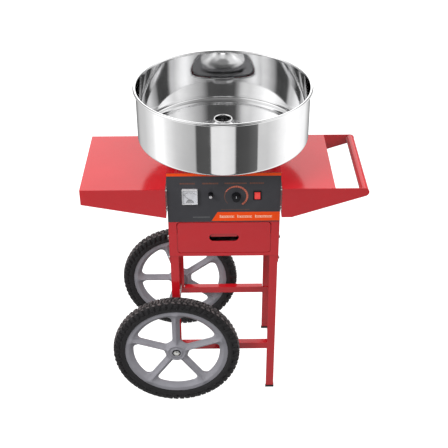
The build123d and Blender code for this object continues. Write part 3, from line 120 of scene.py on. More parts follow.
class Shader(Graph):
    """Graph of one material, whose principled surface is set socket by socket."""

    def __init__(self, name, **sockets):
        self.material = bpy.data.materials.new(name)
        super().__init__(self.material)
        self.surface = self.tree.nodes["Principled BSDF"]
        for key, value in sockets.items():
            self.set(key, value)

    def set(self, key, value):
        self.feed(self.surface.inputs[key.replace("_", " ")], value)

    def place(self):
        """Object coordinates, in metres."""
        return self.node("TexCoord").outputs["Object"]

    def noise(self, scale, detail=2.0, roughness=0.5, distortion=0.0):
        values = {
            "Vector": self.place(),
            "Scale": scale,
            "Detail": detail,
            "Roughness": roughness,
            "Distortion": distortion,
        }
        return self.node("TexNoise", values).outputs[0]

    def band(self, value, low, high, out_low=0.0, out_high=1.0):
        """value carried from low..high to out_low..out_high, held at the ends."""
        values = {0: value, 1: low, 2: high, 3: out_low, 4: out_high}
        return self.node("MapRange", values).outputs[0]

    def mix(self, factor, a, b):
        return self.node("Mix", {0: factor, 6: a, 7: b}, data_type="RGBA").outputs[2]

    def bump(self, height, distance, strength=1.0, under=None):
        values = {"Height": height, "Distance": distance, "Strength": strength}
        if under is not None:
            values["Normal"] = under
        return self.node("Bump", values).outputs[0]


def radius_from(shader, axis, centre=(0.0, 0.0, 0.0)):
    """Distance in metres from a line along axis through centre."""
    split = shader.node("SeparateXYZ", {0: shader.place()})
    terms = []
    for index, letter in enumerate("XYZ"):
        if letter != axis:
            offset = shader.math("SUBTRACT", split.outputs[index], centre[index])
            terms.append(shader.math("MULTIPLY", offset, offset))
    return shader.math("SQRT", shader.math("ADD", terms[0], terms[1]))


# ------------------------------------------------------------------ materials
def red_paint():
    """Glossy powder coat: even colour, faint orange peel and a slow ripple in the sheet."""
    s = Shader("red_paint", Metallic=0.0, IOR=1.48)
    cloud = s.noise(6.0, 3.0)
    grain = s.noise(500.0, 3.0)
    base = s.mix(s.band(cloud, 0.35, 0.65), (0.575, 0.0070, 0.0140), (0.615, 0.0095, 0.0175))
    base = s.mix(s.math("MULTIPLY", s.band(grain, 0.45, 0.75), 0.10), base, (0.68, 0.030, 0.038))
    s.set("Base Color", base)
    s.set("Roughness", s.band(s.noise(40.0, 4.0), 0.3, 0.7, 0.13, 0.19))
    peel = s.bump(s.noise(420.0, 1.0), 0.00004, 0.25)
    s.set("Normal", s.bump(s.noise(14.0, 1.0), 0.0005, 0.10, peel))
    return s.material


def galvanised_steel():
    s = Shader("galvanised_steel", Metallic=0.9)
    cells = s.node("TexVoronoi", {"Vector": s.place(), "Scale": 110.0}).outputs["Color"]
    tone = s.node("SeparateColor", {0: cells}).outputs[0]
    s.set("Base Color", s.mix(tone, (0.50, 0.52, 0.54), (0.68, 0.70, 0.72)))
    s.set("Roughness", s.band(tone, 0.0, 1.0, 0.32, 0.55))
    s.set("Normal", s.bump(s.noise(600.0, 3.0), 0.00004, 0.4))
    return s.material


def panel_film():
    s = Shader("panel_film", IOR=1.45)
    weave = s.noise(2600.0, 1.0)
    tone = s.band(s.noise(9.0, 2.0), 0.3, 0.7)
    base = s.mix(tone, (0.034, 0.034, 0.040), (0.046, 0.046, 0.053))
    s.set("Base Color", s.mix(s.math("MULTIPLY", weave, 0.35), base, (0.070, 0.070, 0.078)))
    s.set("Roughness", s.band(s.noise(60.0, 3.0), 0.3, 0.7, 0.40, 0.52))
    s.set("Normal", s.bump(weave, 0.00003, 0.3))
    return s.material


def print_ink(name, dark, light, roughness=0.4, glow=0.0):
    """Screen-printed ink with fine pinholes and a slightly uneven pull; glow adds a painted glow,
    emission that brightens the ink as if it were lit more strongly.
    """
    s = Shader(name, IOR=1.45)
    pull = s.band(s.noise(120.0, 4.0, 0.6), 0.35, 0.65)
    speck = s.band(s.noise(2200.0, 1.0), 0.62, 0.75)
    base = s.mix(pull, dark, light)
    s.set("Base Color", s.mix(s.math("MULTIPLY", speck, 0.4), base, dark))
    s.set("Roughness", s.band(pull, 0.0, 1.0, roughness, roughness + 0.12))
    s.set("Normal", s.bump(pull, 0.00002, 0.4))
    # painted glow: the ink emits light in its own colour, so it looks more brightly lit than the
    # lamps make it
    if glow:
        s.set("Emission Color", light)
        s.set("Emission Strength", glow)
    return s.material


def zinc_fasteners():
    s = Shader("zinc_fasteners", Metallic=1.0)
    cloud = s.band(s.noise(160.0, 4.0), 0.3, 0.7)
    s.set("Base Color", s.mix(cloud, (0.62, 0.64, 0.68), (0.74, 0.72, 0.64)))
    s.set("Roughness", s.band(cloud, 0.0, 1.0, 0.22, 0.42))
    s.set("Normal", s.bump(s.noise(1500.0, 2.0), 0.00003, 0.3))
    return s.material


def rubber(name, base, light, grain=900.0):
    s = Shader(name, IOR=1.45)
    bloom = s.band(s.noise(35.0, 4.0, 0.6), 0.35, 0.75)
    s.set("Base Color", s.mix(bloom, base, light))
    s.set("Roughness", s.band(bloom, 0.0, 1.0, 0.62, 0.82))
    s.set("Normal", s.bump(s.noise(grain, 3.0), 0.00012, 0.5))
    return s.material


def tyre_rubber(centre):
    s = Shader("tyre_rubber", IOR=1.45)
    radius = radius_from(s, "Y", centre)
    dust = s.band(s.noise(95.0, 5.0, 0.7), 0.40, 0.70)
    worn = s.band(radius, 0.1965, 0.2000)
    dark = s.mix(dust, (0.011, 0.0105, 0.0115), (0.022, 0.020, 0.022))
    scuffed = s.mix(dust, (0.028, 0.025, 0.026), (0.190, 0.165, 0.165))
    s.set("Base Color", s.mix(worn, dark, scuffed))
    s.set("Roughness", s.band(dust, 0.0, 1.0, 0.52, 0.78))
    fine = s.bump(s.noise(1100.0, 3.0), 0.00015, 0.5)
    rings = s.math("SINE", s.math("MULTIPLY", radius, 2600.0))
    s.set("Normal", s.bump(rings, 0.00004, 0.25, fine))
    return s.material


def moulded(name, base, light, roughness=0.38, grain=700.0, depth=0.00006, coat=0.0):
    """Moulded plastic: faint flow marks and a fine fleck."""
    s = Shader(name, IOR=1.5, Coat_Weight=coat, Coat_Roughness=0.12)
    flow = s.band(s.noise(22.0, 3.0, 0.55, distortion=0.6), 0.3, 0.7)
    fleck = s.band(s.noise(grain, 2.0), 0.5, 0.8)
    colour = s.mix(flow, base, light)
    s.set("Base Color", s.mix(s.math("MULTIPLY", fleck, 0.3), colour, light))
    s.set("Roughness", s.band(flow, 0.0, 1.0, roughness, roughness + 0.12))
    s.set("Normal", s.bump(s.noise(grain, 2.0), depth, 0.5))
    return s.material


def mirror_steel():
    """Polished stainless sheet: hairlines run round the axis, with faint sheet ripple."""
    s = Shader("mirror_steel", Metallic=1.0)
    radius = radius_from(s, "Z")
    split = s.node("SeparateXYZ", {0: s.place()})
    bend = s.math("ARCTAN2", split.outputs[1], split.outputs[0])
    spun = s.node("CombineXYZ", {0: s.math("MULTIPLY", bend, 0.6), 1: radius, 2: split.outputs[2]})
    hair = s.node("TexNoise", {"Vector": spun.outputs[0], "Scale": 950.0, "Detail": 3.0}).outputs[0]
    smear = s.band(s.noise(11.0, 4.0, 0.6), 0.35, 0.7)
    s.set("Base Color", s.mix(smear, (0.80, 0.80, 0.805), (0.86, 0.86, 0.862)))
    haze = s.math("ADD", hair, s.math("MULTIPLY", smear, 0.5))
    s.set("Roughness", s.band(haze, 0.4, 1.2, 0.030, 0.095))
    fine = s.bump(hair, 0.000004, 0.5)
    s.set("Normal", s.bump(s.noise(7.0, 1.0), 0.0006, 0.08, fine))
    return s.material


def turned_metal(name, base, light, roughness):
    """Lathe-turned metal with fine rings round the spinner axis."""
    s = Shader(name, Metallic=1.0)
    radius = radius_from(s, "Z")
    ring = s.math("SINE", s.math("MULTIPLY", radius, 5200.0))
    haze = s.band(s.noise(60.0, 4.0, 0.6), 0.3, 0.7)
    s.set("Base Color", s.mix(haze, base, light))
    s.set("Roughness", s.band(haze, 0.0, 1.0, roughness, roughness + 0.14))
    s.set("Normal", s.bump(s.math("ADD", ring, s.math("MULTIPLY", haze, 0.5)), 0.00003, 0.3))
    return s.material


def heater_metal():
    """Resistance wire, blued and browned by heat."""
    s = Shader("heater_metal", Metallic=0.85)
    heat = s.band(s.noise(90.0, 4.0, 0.6), 0.3, 0.7)
    s.set("Base Color", s.mix(heat, (0.16, 0.12, 0.11), (0.30, 0.27, 0.30)))
    s.set("Roughness", s.band(heat, 0.0, 1.0, 0.40, 0.62))
    s.set("Normal", s.bump(s.noise(1800.0, 2.0), 0.00003, 0.4))
    return s.material


def clear_plastic():
    s = Shader("clear_plastic", IOR=1.49, Alpha=0.16)
    swirl = s.band(s.noise(160.0, 3.0), 0.3, 0.7)
    s.set("Base Color", s.mix(swirl, (0.86, 0.88, 0.90), (0.96, 0.97, 0.98)))
    s.set("Roughness", s.band(swirl, 0.0, 1.0, 0.05, 0.10))
    s.set("Normal", s.bump(s.noise(30.0, 1.0), 0.0001, 0.15))
    return s.material


def circuit_board():
    s = Shader("circuit_board", IOR=1.5)
    bricks = {"Vector": s.place(), "Scale": 110.0, "Mortar Size": 0.03}
    tracks = s.node("TexBrick", bricks).outputs[1]
    s.set("Base Color", s.mix(tracks, (0.016, 0.110, 0.045), (0.060, 0.230, 0.100)))
    s.set("Roughness", s.band(s.noise(200.0, 2.0), 0.3, 0.7, 0.30, 0.45))
    s.set("Normal", s.bump(tracks, 0.00004, 0.5))
    return s.material


def lit_switch():
    """Translucent red rocker, brighter towards the lamp in its middle."""
    s = Shader("switch_red", IOR=1.5, Coat_Weight=0.5, Coat_Roughness=0.10)
    low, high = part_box("switch_rocker")
    middle = (low + high) / 2
    glow = s.band(radius_from(s, "Y", tuple(middle)), 0.003, 0.012, 1.0, 0.0)
    grain = s.band(s.noise(700.0, 2.0), 0.3, 0.7)
    s.set("Base Color", s.mix(grain, (0.70, 0.020, 0.020), (0.80, 0.035, 0.030)))
    s.set("Emission Color", s.mix(glow, (0.50, 0.010, 0.008), (1.0, 0.10, 0.07)))
    s.set("Emission Strength", 0.22)
    s.set("Roughness", s.band(grain, 0.0, 1.0, 0.22, 0.34))
    s.set("Normal", s.bump(s.noise(900.0, 1.0), 0.00003, 0.3))
    return s.material


wheel_low, wheel_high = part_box("tyre_front")
WHEEL = (wheel_low + wheel_high) / 2
MATERIALS = {
    "red_paint": red_paint(),
    "galvanised_steel": galvanised_steel(),
    "panel_film": panel_film(),
    "zinc_fasteners": zinc_fasteners(),
    "black_rubber": rubber("black_rubber", (0.018, 0.018, 0.019), (0.034, 0.033, 0.033)),
    "mirror_steel": mirror_steel(),
    "satin_steel": turned_metal("satin_steel", (0.52, 0.52, 0.53), (0.64, 0.64, 0.65), 0.28),
    "head_aluminium": turned_metal("head_aluminium", (0.26, 0.26, 0.27), (0.34, 0.34, 0.35), 0.42),
    "tyre_rubber": tyre_rubber(tuple(WHEEL)),
    "grey_plastic": moulded("grey_plastic", (0.285, 0.280, 0.312), (0.335, 0.330, 0.362), 0.40),
    "bronze": turned_metal("bronze", (0.55, 0.33, 0.14), (0.68, 0.44, 0.20), 0.26),
    "nylon": moulded("nylon", (0.62, 0.61, 0.57), (0.70, 0.69, 0.65), 0.45),
    "motor_paint": moulded(
        "motor_paint", (0.030, 0.030, 0.034), (0.050, 0.050, 0.055), 0.35, coat=0.4
    ),
    "spindle_steel": turned_metal("spindle_steel", (0.45, 0.45, 0.47), (0.58, 0.58, 0.60), 0.22),
    "heater_metal": heater_metal(),
    "black_plastic": moulded(
        "black_plastic", (0.0065, 0.0065, 0.0080), (0.0120, 0.0120, 0.0140), 0.34
    ),
    "carbon": rubber("carbon", (0.030, 0.030, 0.032), (0.055, 0.055, 0.058), 1800.0),
    "white_plastic": moulded(
        "white_plastic", (0.74, 0.74, 0.76), (0.80, 0.80, 0.82), 0.26, coat=0.4
    ),
    "clear_plastic": clear_plastic(),
    "needle_paint": moulded("needle_paint", (0.020, 0.018, 0.018), (0.045, 0.040, 0.040), 0.35),
    "switch_red": lit_switch(),
    "fuse_metal": moulded(
        "fuse_metal", (0.66, 0.66, 0.68), (0.78, 0.78, 0.80), 0.16, depth=0.00002
    ),
    "circuit_board": circuit_board(),
}
for slot, socket, value in (("fuse_metal", "Metallic", 1.0), ("black_plastic", "IOR", 1.3)):
    surface = MATERIALS[slot].node_tree.nodes["Principled BSDF"]
    surface.inputs[socket].default_value = value
# The orange and pale inks carry a painted glow: emission strength 0.12 and 0.15.
INK_ORANGE = print_ink("ink_orange", (0.86, 0.060, 0.002), (0.94, 0.085, 0.004), 0.38, 0.12)
INK_BROWN = print_ink("ink_brown", (0.150, 0.060, 0.040), (0.215, 0.090, 0.060))
INK_SALMON = print_ink("ink_salmon", (0.62, 0.150, 0.090), (0.74, 0.200, 0.125))
INK_GREY = print_ink("ink_grey", (0.115, 0.120, 0.125), (0.165, 0.170, 0.175))
INK_PALE = print_ink("ink_pale", (0.90, 0.62, 0.42), (0.95, 0.74, 0.56), 0.4, 0.15)
INK_BLACK = print_ink("ink_black", (0.030, 0.030, 0.034), (0.070, 0.070, 0.078))
DIAL_WHITE = moulded("dial_white", (0.84, 0.84, 0.89), (0.90, 0.90, 0.95), 0.5, 1500.0)
DIAL_GREY = moulded("dial_grey", (0.22, 0.22, 0.24), (0.30, 0.30, 0.32), 0.36)
POINTER_WHITE = moulded("pointer_white", (0.62, 0.62, 0.66), (0.72, 0.72, 0.76), 0.35)


# ------------------------------------------------------------------ mesh helpers
def add_object(name, mesh, material, body, stands_for=()):
    piece = bpy.data.objects.new(name, mesh)
    bpy.context.scene.collection.objects.link(piece)
    mesh.materials.clear()
    mesh.materials.append(material)
    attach(piece, body)
    if stands_for:
        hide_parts(*stands_for)
    return piece


def mesh_from(name, points, faces, smooth_angle=35.0):
    mesh = bpy.data.meshes.new(name)
    corners = [tuple(map(float, point)) for point in points]
    mesh.from_pydata(corners, [], [tuple(map(int, face)) for face in faces])
    mesh.validate()
    mesh.update()
    mesh.shade_smooth()
    mesh.set_sharp_from_angle(angle=math.radians(smooth_angle))
    return mesh


def revolved_mesh(name, profile, segments, smooth_angle, centre=None):
    """Closed profile of (radius, height) in millimetres, turned all the way round.

    The axis is the spinner's, or runs along y through centre, an (x, z) pair.
    """
    points, faces = [], []
    count = len(profile)
    for step in range(segments):
        turn = 2 * math.pi * step / segments
        for radius, height in profile:
            a, b = radius * math.cos(turn), radius * math.sin(turn)
            if centre is None:
                points.append((a * MM, b * MM, height * MM))
            else:
                points.append(((centre[0] + a) * MM, height * MM, (centre[1] + b) * MM))
    for step in range(segments):
        here, there = step * count, (step + 1) % segments * count
        for index in range(count):
            after = (index + 1) % count
            face = (here + index, there + index, there + after, here + after)
            faces.append(face if centre is None else face[::-1])
    return mesh_from(name, points, faces, smooth_angle)


def arc_points(centre, radius, start, end, steps):
    """Points on an arc in millimetres; angles in degrees."""
    return [
        (
            centre[0] + radius * math.cos(math.radians(start + (end - start) * k / steps)),
            centre[1] + radius * math.sin(math.radians(start + (end - start) * k / steps)),
        )
        for k in range(steps + 1)
    ]


CORNER_ANGLE = 25.0             # degrees; flatter edges are left as they are


def finished_copy(node, width, segments=2):
    """The node's own shape with its edges eased, as a new piece that stands for it."""
    source = nodes[node]
    work = bmesh.new()
    work.from_mesh(source.data)
    bmesh.ops.remove_doubles(work, verts=work.verts, dist=0.00002)
    bmesh.ops.dissolve_limit(
        work, angle_limit=math.radians(0.6), verts=work.verts, edges=work.edges, delimit=set()
    )
    sharp = [
        e for e in work.edges
        if len(e.link_faces) == 2 and e.calc_face_angle(0.0) > math.radians(CORNER_ANGLE)
    ]
    bmesh.ops.bevel(
        work, geom=sharp, offset=width * MM, offset_type="OFFSET", segments=segments,
        profile=0.5, affect="EDGES", clamp_overlap=True, harden_normals=False,
    )
    bmesh.ops.triangulate(work, faces=[f for f in work.faces if len(f.verts) > 4])
    mesh = bpy.data.meshes.new(node + "_finished")
    work.to_mesh(mesh)
    work.free()
    mesh.shade_smooth()
    mesh.set_sharp_from_angle(angle=math.radians(38.0))
    slot = SLOT_OF[node]
    piece = add_object(
        node + "_finished", mesh, MATERIALS[slot], source["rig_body"], (node,)
    )
    weighted = piece.modifiers.new("face_weighted", "WEIGHTED_NORMAL")
    weighted.keep_sharp = True
    weighted.weight = 80
    return piece


# ------------------------------------------------------------------ carried-over nodes
for name, node in nodes.items():
    for holder in node.material_slots:
        holder.material = MATERIALS[SLOT_OF[name]]

for name in (
    "side_panel_left", "side_panel_right", "front_frame", "back_panel", "top_plate",
    "bottom_plate", "left_shelf", "right_shelf", "handle_arm_front", "handle_arm_back",
    "leg_front_left", "leg_front_right", "leg_back_left", "leg_back_right",
    "brace_front", "brace_back", "drawer_front",
):
    finished_copy(name, 0.45)
finished_copy("control_panel", 0.3)
finished_copy("switch_bezel", 0.6)
finished_copy("switch_rocker", 0.8, 3)
finished_copy("voltmeter_case", 0.5)
finished_copy("foot_caps", 0.5)
finished_copy("axle_nuts", 0.5)


# ------------------------------------------------------------------ bowl
wall_low, wall_high = (v * 1000 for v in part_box("bowl_wall"))
base_low, base_high = (v * 1000 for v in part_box("bowl_base"))
SHEET = 1.2
WALL_OUT = base_high.x
WALL_IN = WALL_OUT - SHEET
SEAM_Z = wall_low.z
BEAD = 4.5
BEAD_X = wall_high.x - BEAD
BEAD_Z = wall_high.z - BEAD
join = math.degrees(math.acos((BEAD_X - WALL_OUT) / BEAD))
wall_profile = [(WALL_OUT, SEAM_Z), (WALL_OUT, SEAM_Z + 30), (WALL_OUT, SEAM_Z + 80)]
wall_profile += arc_points((BEAD_X, BEAD_Z), BEAD, 180 + join, 540, 18)[:-1]
wall_profile += [(BEAD_X - BEAD, BEAD_Z), (WALL_IN, BEAD_Z - 4), (WALL_IN, SEAM_Z + 80)]
wall_profile += [(WALL_IN, SEAM_Z + 30), (WALL_IN, SEAM_Z)]
add_object(
    "bowl_wall_rolled", revolved_mesh("bowl_wall_rolled", wall_profile, 256, 50.0),
    MATERIALS["mirror_steel"], "bowl", ("bowl_wall",),
)

CORNER = 10.0
HOLE = 92.0
FLOOR = base_low.z
outer = [(HOLE, FLOOR), (150.0, FLOOR), (WALL_OUT - CORNER, FLOOR)]
outer += arc_points((WALL_OUT - CORNER, FLOOR + CORNER), CORNER, -90, 0, 10)[1:]
outer += [(WALL_OUT, SEAM_Z)]
inner_corner = CORNER - SHEET
inner = [(WALL_IN - 0.5, SEAM_Z), (WALL_IN - 0.5, SEAM_Z - 1.6), (WALL_IN, SEAM_Z - 2.4)]
inner += arc_points((WALL_OUT - CORNER, FLOOR + CORNER), inner_corner, 0, -90, 10)
inner += [(225.0, FLOOR + SHEET), (224.0, FLOOR + SHEET + 0.25), (222.6, FLOOR + SHEET + 0.5)]
inner += [(120.0, FLOOR + SHEET + 0.5), (HOLE + 5, FLOOR + SHEET + 0.5)]
inner += arc_points((HOLE + 3, FLOOR + SHEET + 1.7), 1.2, -90, -270, 6)
inner += [(HOLE, FLOOR + SHEET + 2.0)]
add_object(
    "bowl_base_dished", revolved_mesh("bowl_base_dished", outer + inner, 256, 50.0),
    MATERIALS["mirror_steel"], "bowl", ("bowl_base",),
)


# ------------------------------------------------------------------ moulded wheel centres
def smooth_union(a, b, blend):
    """Union of two distance fields with a fillet about blend wide."""
    share = np.clip(0.5 + 0.5 * (b - a) / blend, 0, 1)
    return b + (a - b) * share - blend * share * (1 - share)


def polygon_distance(x, y, corners):
    """Signed distance from points to a polygon, negative inside."""
    best = np.full(x.shape, 1e9)
    inside = np.zeros(x.shape, bool)
    for k, (x1, y1) in enumerate(corners):
        x0, y0 = corners[k - 1]
        ex, ey = x1 - x0, y1 - y0
        share = np.clip(((x - x0) * ex + (y - y0) * ey) / (ex * ex + ey * ey), 0, 1)
        best = np.minimum(best, (x - x0 - share * ex) ** 2 + (y - y0 - share * ey) ** 2)
        if y0 != y1:
            crosses = ((y0 > y) != (y1 > y)) & (x < x0 + (y - y0) * ex / ey)
            inside ^= crosses
    return np.where(inside, -1.0, 1.0) * np.sqrt(best)


def surface_net(field, origin, step):
    """Quads on the zero level of a sampled field, one point in each crossed cell."""
    shape = tuple(n - 1 for n in field.shape)
    total = np.zeros(shape + (3,))
    count = np.zeros(shape)
    corners = [(i, j, k) for i in (0, 1) for j in (0, 1) for k in (0, 1)]

    def part(c):
        return field[c[0]: c[0] + shape[0], c[1]: c[1] + shape[1], c[2]: c[2] + shape[2]]

    for a in corners:
        for axis in range(3):
            if a[axis]:
                continue
            b = tuple(v + (n == axis) for n, v in enumerate(a))
            va, vb = part(a), part(b)
            crossed = (va < 0) != (vb < 0)
            share = np.where(crossed, va / np.where(crossed, va - vb, 1.0), 0.0)
            for n in range(3):
                total[..., n] += crossed * (a[n] + (share if n == axis else 0.0))
            count += crossed
    used = count > 0
    index = np.full(shape, -1)
    index[used] = np.arange(int(used.sum()))
    cells = np.argwhere(used)
    points = (cells + total[used] / count[used][:, None]) * step + np.array(origin)
    faces = []
    for axis in range(3):
        low = [slice(1, -1)] * 3
        low[axis] = slice(0, -1)
        high = list(low)
        high[axis] = slice(1, None)
        first, second = field[tuple(low)], field[tuple(high)]
        flips = np.argwhere((first < 0) != (second < 0))
        offset = np.array([1, 1, 1])
        offset[axis] = 0
        at = flips + offset
        u, v = (n for n in range(3) if n != axis)
        ring = []
        for du, dv in ((1, 1), (0, 1), (0, 0), (1, 0)):
            spot = at.copy()
            spot[:, u] -= du
            spot[:, v] -= dv
            ring.append(index[spot[:, 0], spot[:, 1], spot[:, 2]])
        quads = np.stack(ring, 1)
        outward = (first < 0)[tuple(flips.T)]
        if axis == 1:
            outward = ~outward
        quads[~outward] = quads[~outward][:, ::-1]
        faces.append(quads)
    return points, np.concatenate(faces)


RIM_R = 164.0
HUB_R = 29.5
HUB_HALF = 18.0
BORE_R = 9.0
STEP = 1.45                     # grid spacing of the wheel centre's surface
SPOKES = 5
BAND_HALF = 14.0                # half width of the rim where the tyre sits
WELL_R, WELL_HALF = 153.0, 11.0     # well under the tyre's beads
RING_SECTION = [
    (138, -9), (138, 2.5), (140, 4.0), (150, 13.4), (151, BAND_HALF), (RIM_R, BAND_HALF),
    (RIM_R, WELL_HALF), (WELL_R, WELL_HALF), (WELL_R, -9),
]
ARM_ROOF = [(-9, 11.0), (2.0, 11.0), (9.5, 3.4), (12.6, 2.6), (12.6, -9), (-9, -9)]
ARM_END, RIB_END = 146.0, 156.0
RIB_HALF, RIB_TOP = 2.1, 15.6
COLLAR_R, COLLAR_TOP = 40.0, 14.0
DISH_INNER, DISH_OUTER, DISH_FLOOR = 19.0, 24.5, 16.6
POCKET_R, POCKET_FLOOR = 13.5, 10.0


def rim_field(spoke_angle):
    """Distance field of the wheel centre: u, v in the wheel's plane, w outward."""
    half = RIM_R + 3 * STEP
    line = np.arange(-half, half + STEP, STEP)
    depth = np.arange(-HUB_HALF - 3 * STEP, HUB_HALF + 4 * STEP, STEP)
    u, v, w = np.meshgrid(line, line, depth, indexing="ij")
    r = np.sqrt(u * u + v * v)
    ring = polygon_distance(r, np.abs(w), RING_SECTION)
    arms = np.full(r.shape, 1e9)
    ribs = np.full(r.shape, 1e9)
    for k in range(SPOKES):
        turn = math.radians(spoke_angle + 360 / SPOKES * k)
        along = u * math.cos(turn) + v * math.sin(turn)
        across = np.abs(v * math.cos(turn) - u * math.sin(turn))
        roof = polygon_distance(across, np.abs(w), ARM_ROOF)
        arms = np.minimum(arms, np.maximum(roof, np.maximum(-along, along - ARM_END)))
        rib = np.maximum(across - RIB_HALF, np.abs(w) - RIB_TOP)
        ribs = np.minimum(ribs, np.maximum(rib, np.maximum(-along, along - RIB_END)))
    body = smooth_union(ring, arms, 20.0)
    body = smooth_union(body, ribs, 1.2)
    hub = np.maximum(r - HUB_R, np.abs(w) - HUB_HALF)
    collar = np.maximum(r - COLLAR_R + 0.8 * np.abs(w), np.abs(w) - COLLAR_TOP)
    body = smooth_union(body, collar, 9.0)
    body = smooth_union(body, hub, 2.5)
    body = np.maximum(body, r - RIM_R)
    groove = np.maximum(WELL_R - r, np.abs(w) - WELL_HALF)
    body = np.maximum(body, -groove)
    dish = np.maximum(np.maximum(DISH_INNER - r, r - DISH_OUTER), DISH_FLOOR - np.abs(w))
    body = np.maximum(body, -dish)
    body = np.maximum(body, -np.maximum(r - POCKET_R, POCKET_FLOOR - w))
    body = np.maximum(body, BORE_R - r)
    return body, (line[0], line[0], depth[0])


def rim_piece(end, side, spoke_angle):
    node = "wheel_rim_" + end
    low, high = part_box(node)
    centre = (low + high) / 2
    field, origin = rim_field(spoke_angle)
    points, faces = surface_net(field, origin, STEP)
    placed = np.empty_like(points)
    placed[:, 0] = points[:, 0] * MM + centre.x
    placed[:, 1] = points[:, 2] * MM * side + centre.y
    placed[:, 2] = points[:, 1] * MM + centre.z
    if side > 0:
        faces = faces[:, ::-1]
    mesh = mesh_from("rim_" + end, placed, faces, 60.0)
    piece = add_object(
        "wheel_centre_" + end, mesh, MATERIALS["grey_plastic"], "wheel_" + end,
        (node,),
    )
    relax = piece.modifiers.new("relax", "SMOOTH")
    relax.factor = 0.3
    relax.iterations = 1
    return piece


rim_piece("front", -1, 90.0)
rim_piece("back", 1, 180.0)


# ------------------------------------------------------------------ tyres
PITCHES = 64                    # tread blocks round the tyre
PER_PITCH = 14                  # mesh columns in each
GROOVE = 4.8


def soft_step(value, edge):
    share = np.clip(value / edge + 0.5, 0, 1)
    return share * share * (3 - 2 * share)


def block(phase, duty, edge=0.12):
    """1 inside the raised part of each pitch, 0 in the gap between blocks."""
    return soft_step(duty / 2 - np.abs(phase % 1.0 - 0.5), edge)


def zone(value, low, high, edge=1.6):
    return soft_step(value - low, edge) * soft_step(high - value, edge)


def tread_rise(phase, reach, wobble):
    """Height of the tread, 0 to 1: reach is the distance across from the crown in mm."""
    width = np.abs(reach)
    sign = np.sign(reach) * 0.25
    odd = block((phase + sign) / 2, 0.5, 0.05)
    zigzag = 2.2 * np.sin(2 * math.pi * phase)
    centre = soft_step(4.4 - np.abs(reach - zigzag), 1.6)
    centre = centre * block(phase * 2 + 0.05 * reach, 0.66)
    middle = zone(width, 8.6, 17.4) * block(phase + sign + 0.028 * width + wobble, 0.56)
    middle = middle * (1 - 0.6 * zone(width, 12.6, 13.6, 1.2))
    tip = 33.0 + 5.0 * odd
    side = zone(width, 19.4, tip, 2.0) * block(phase + sign + 0.30 - 0.012 * width, 0.60)
    return np.maximum(np.maximum(centre, middle), side)


def tyre_piece(end):
    node = "tyre_" + end
    low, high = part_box(node)
    centre = (low + high) / 2
    bead = [(153.4, -10.6), (153.4, 10.6), (164.5, 10.7), (164.5, 15.0), (164.8, 15.6)]
    bead += [(166.5, 17.4), (168.0, 18.9), (169.2, 19.0), (170.4, 19.9), (173.0, 21.0)]
    half = [(175.5, 21.7), (178.0, 22.2), (180.5, 22.5), (183.0, 22.6), (185.5, 22.5)]
    half += [(188.0, 22.3), (190.3, 22.0), (192.5, 21.5), (194.5, 20.8), (196.2, 19.8)]
    half += [(197.5, 18.6), (198.5, 17.1), (199.3, 15.5), (200.0, 13.8), (200.5, 12.1)]
    half += [(200.9, 10.3), (201.2, 8.6), (201.5, 6.9), (201.7, 5.2), (201.8, 3.5), (201.9, 1.7)]
    outline = np.array(half + [(202.0, 0.0)] + [(r, -z) for r, z in reversed(half)])
    tangent = np.gradient(outline, axis=0)
    tangent /= np.linalg.norm(tangent, axis=1)[:, None]
    inward = np.stack([tangent[:, 1], -tangent[:, 0]], 1)
    steps = np.linalg.norm(np.diff(outline, axis=0), axis=1)
    reach = np.concatenate([[0.0], np.cumsum(steps)])
    reach = reach[-1] / 2 - reach
    columns = PITCHES * PER_PITCH
    turn = np.arange(columns) / columns * 2 * math.pi
    phase = (turn / (2 * math.pi) * PITCHES)[:, None]
    wobble = 0.10 * np.sin(5 * turn)[:, None] + 0.06 * np.sin(13 * turn)[:, None]
    rise = tread_rise(phase, reach[None, :], wobble)
    fade = soft_step(39.0 - np.abs(reach), 6.0)[None, :]
    sink = GROOVE * (1 - rise) * fade
    profile = bead + [tuple(p) for p in outline]
    profile += [(r, -z) for r, z in reversed(bead[2:])]
    count = len(profile)
    grid = np.empty((columns, count, 3))
    for k, (r, height) in enumerate(profile):
        j = k - len(bead)
        if 0 <= j < len(outline):
            r = r + sink[:, j] * inward[j, 0]
            height = height + sink[:, j] * inward[j, 1]
        grid[:, k, 0] = r * np.cos(turn) * MM + centre.x
        grid[:, k, 2] = r * np.sin(turn) * MM + centre.z
        grid[:, k, 1] = height * MM + centre.y
    here = np.arange(columns)[:, None] * count
    there = (np.arange(columns)[:, None] + 1) % columns * count
    a = np.arange(count)[None, :]
    b = (a + 1) % count
    faces = np.stack([here + a, there + a, there + b, here + b], -1).reshape(-1, 4)
    mesh = mesh_from("tyre_" + end, grid.reshape(-1, 3), faces, 48.0)
    return add_object(
        "tyre_tread_" + end, mesh, MATERIALS["tyre_rubber"], "wheel_" + end, (node,)
    )


tyre_piece("front")
tyre_piece("back")


# ------------------------------------------------------------------ printed panel
panel_low, panel_high = (v * 1000 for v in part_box("control_panel"))
PRINT_Y = panel_low.y
PRINT_RISE = 0.08
TOP = panel_high.z
LOW = panel_low.z
HALF = panel_high.x


def flat_print(
    name, outlines, material, y=PRINT_Y, rise=PRINT_RISE, body="cart"
):
    """Raised print from outlines of (x, z) in millimetres on a face at y."""
    work = bmesh.new()
    for outline in outlines:
        front = [work.verts.new((x * MM, (y - rise) * MM, z * MM)) for x, z in outline]
        rear = [work.verts.new((x * MM, y * MM, z * MM)) for x, z in outline]
        work.faces.new(front)
        work.faces.new(list(reversed(rear)))
        for k in range(len(outline)):
            work.faces.new((front[k - 1], rear[k - 1], rear[k], front[k]))
    bmesh.ops.triangulate(work, faces=[f for f in work.faces if len(f.verts) > 4])
    bmesh.ops.recalc_face_normals(work, faces=work.faces)
    mesh = bpy.data.meshes.new(name)
    work.to_mesh(mesh)
    work.free()
    return add_object(name, mesh, material, body)


def bar(x0, x1, z0, z1):
    return [(x0, z0), (x1, z0), (x1, z1), (x0, z1)]


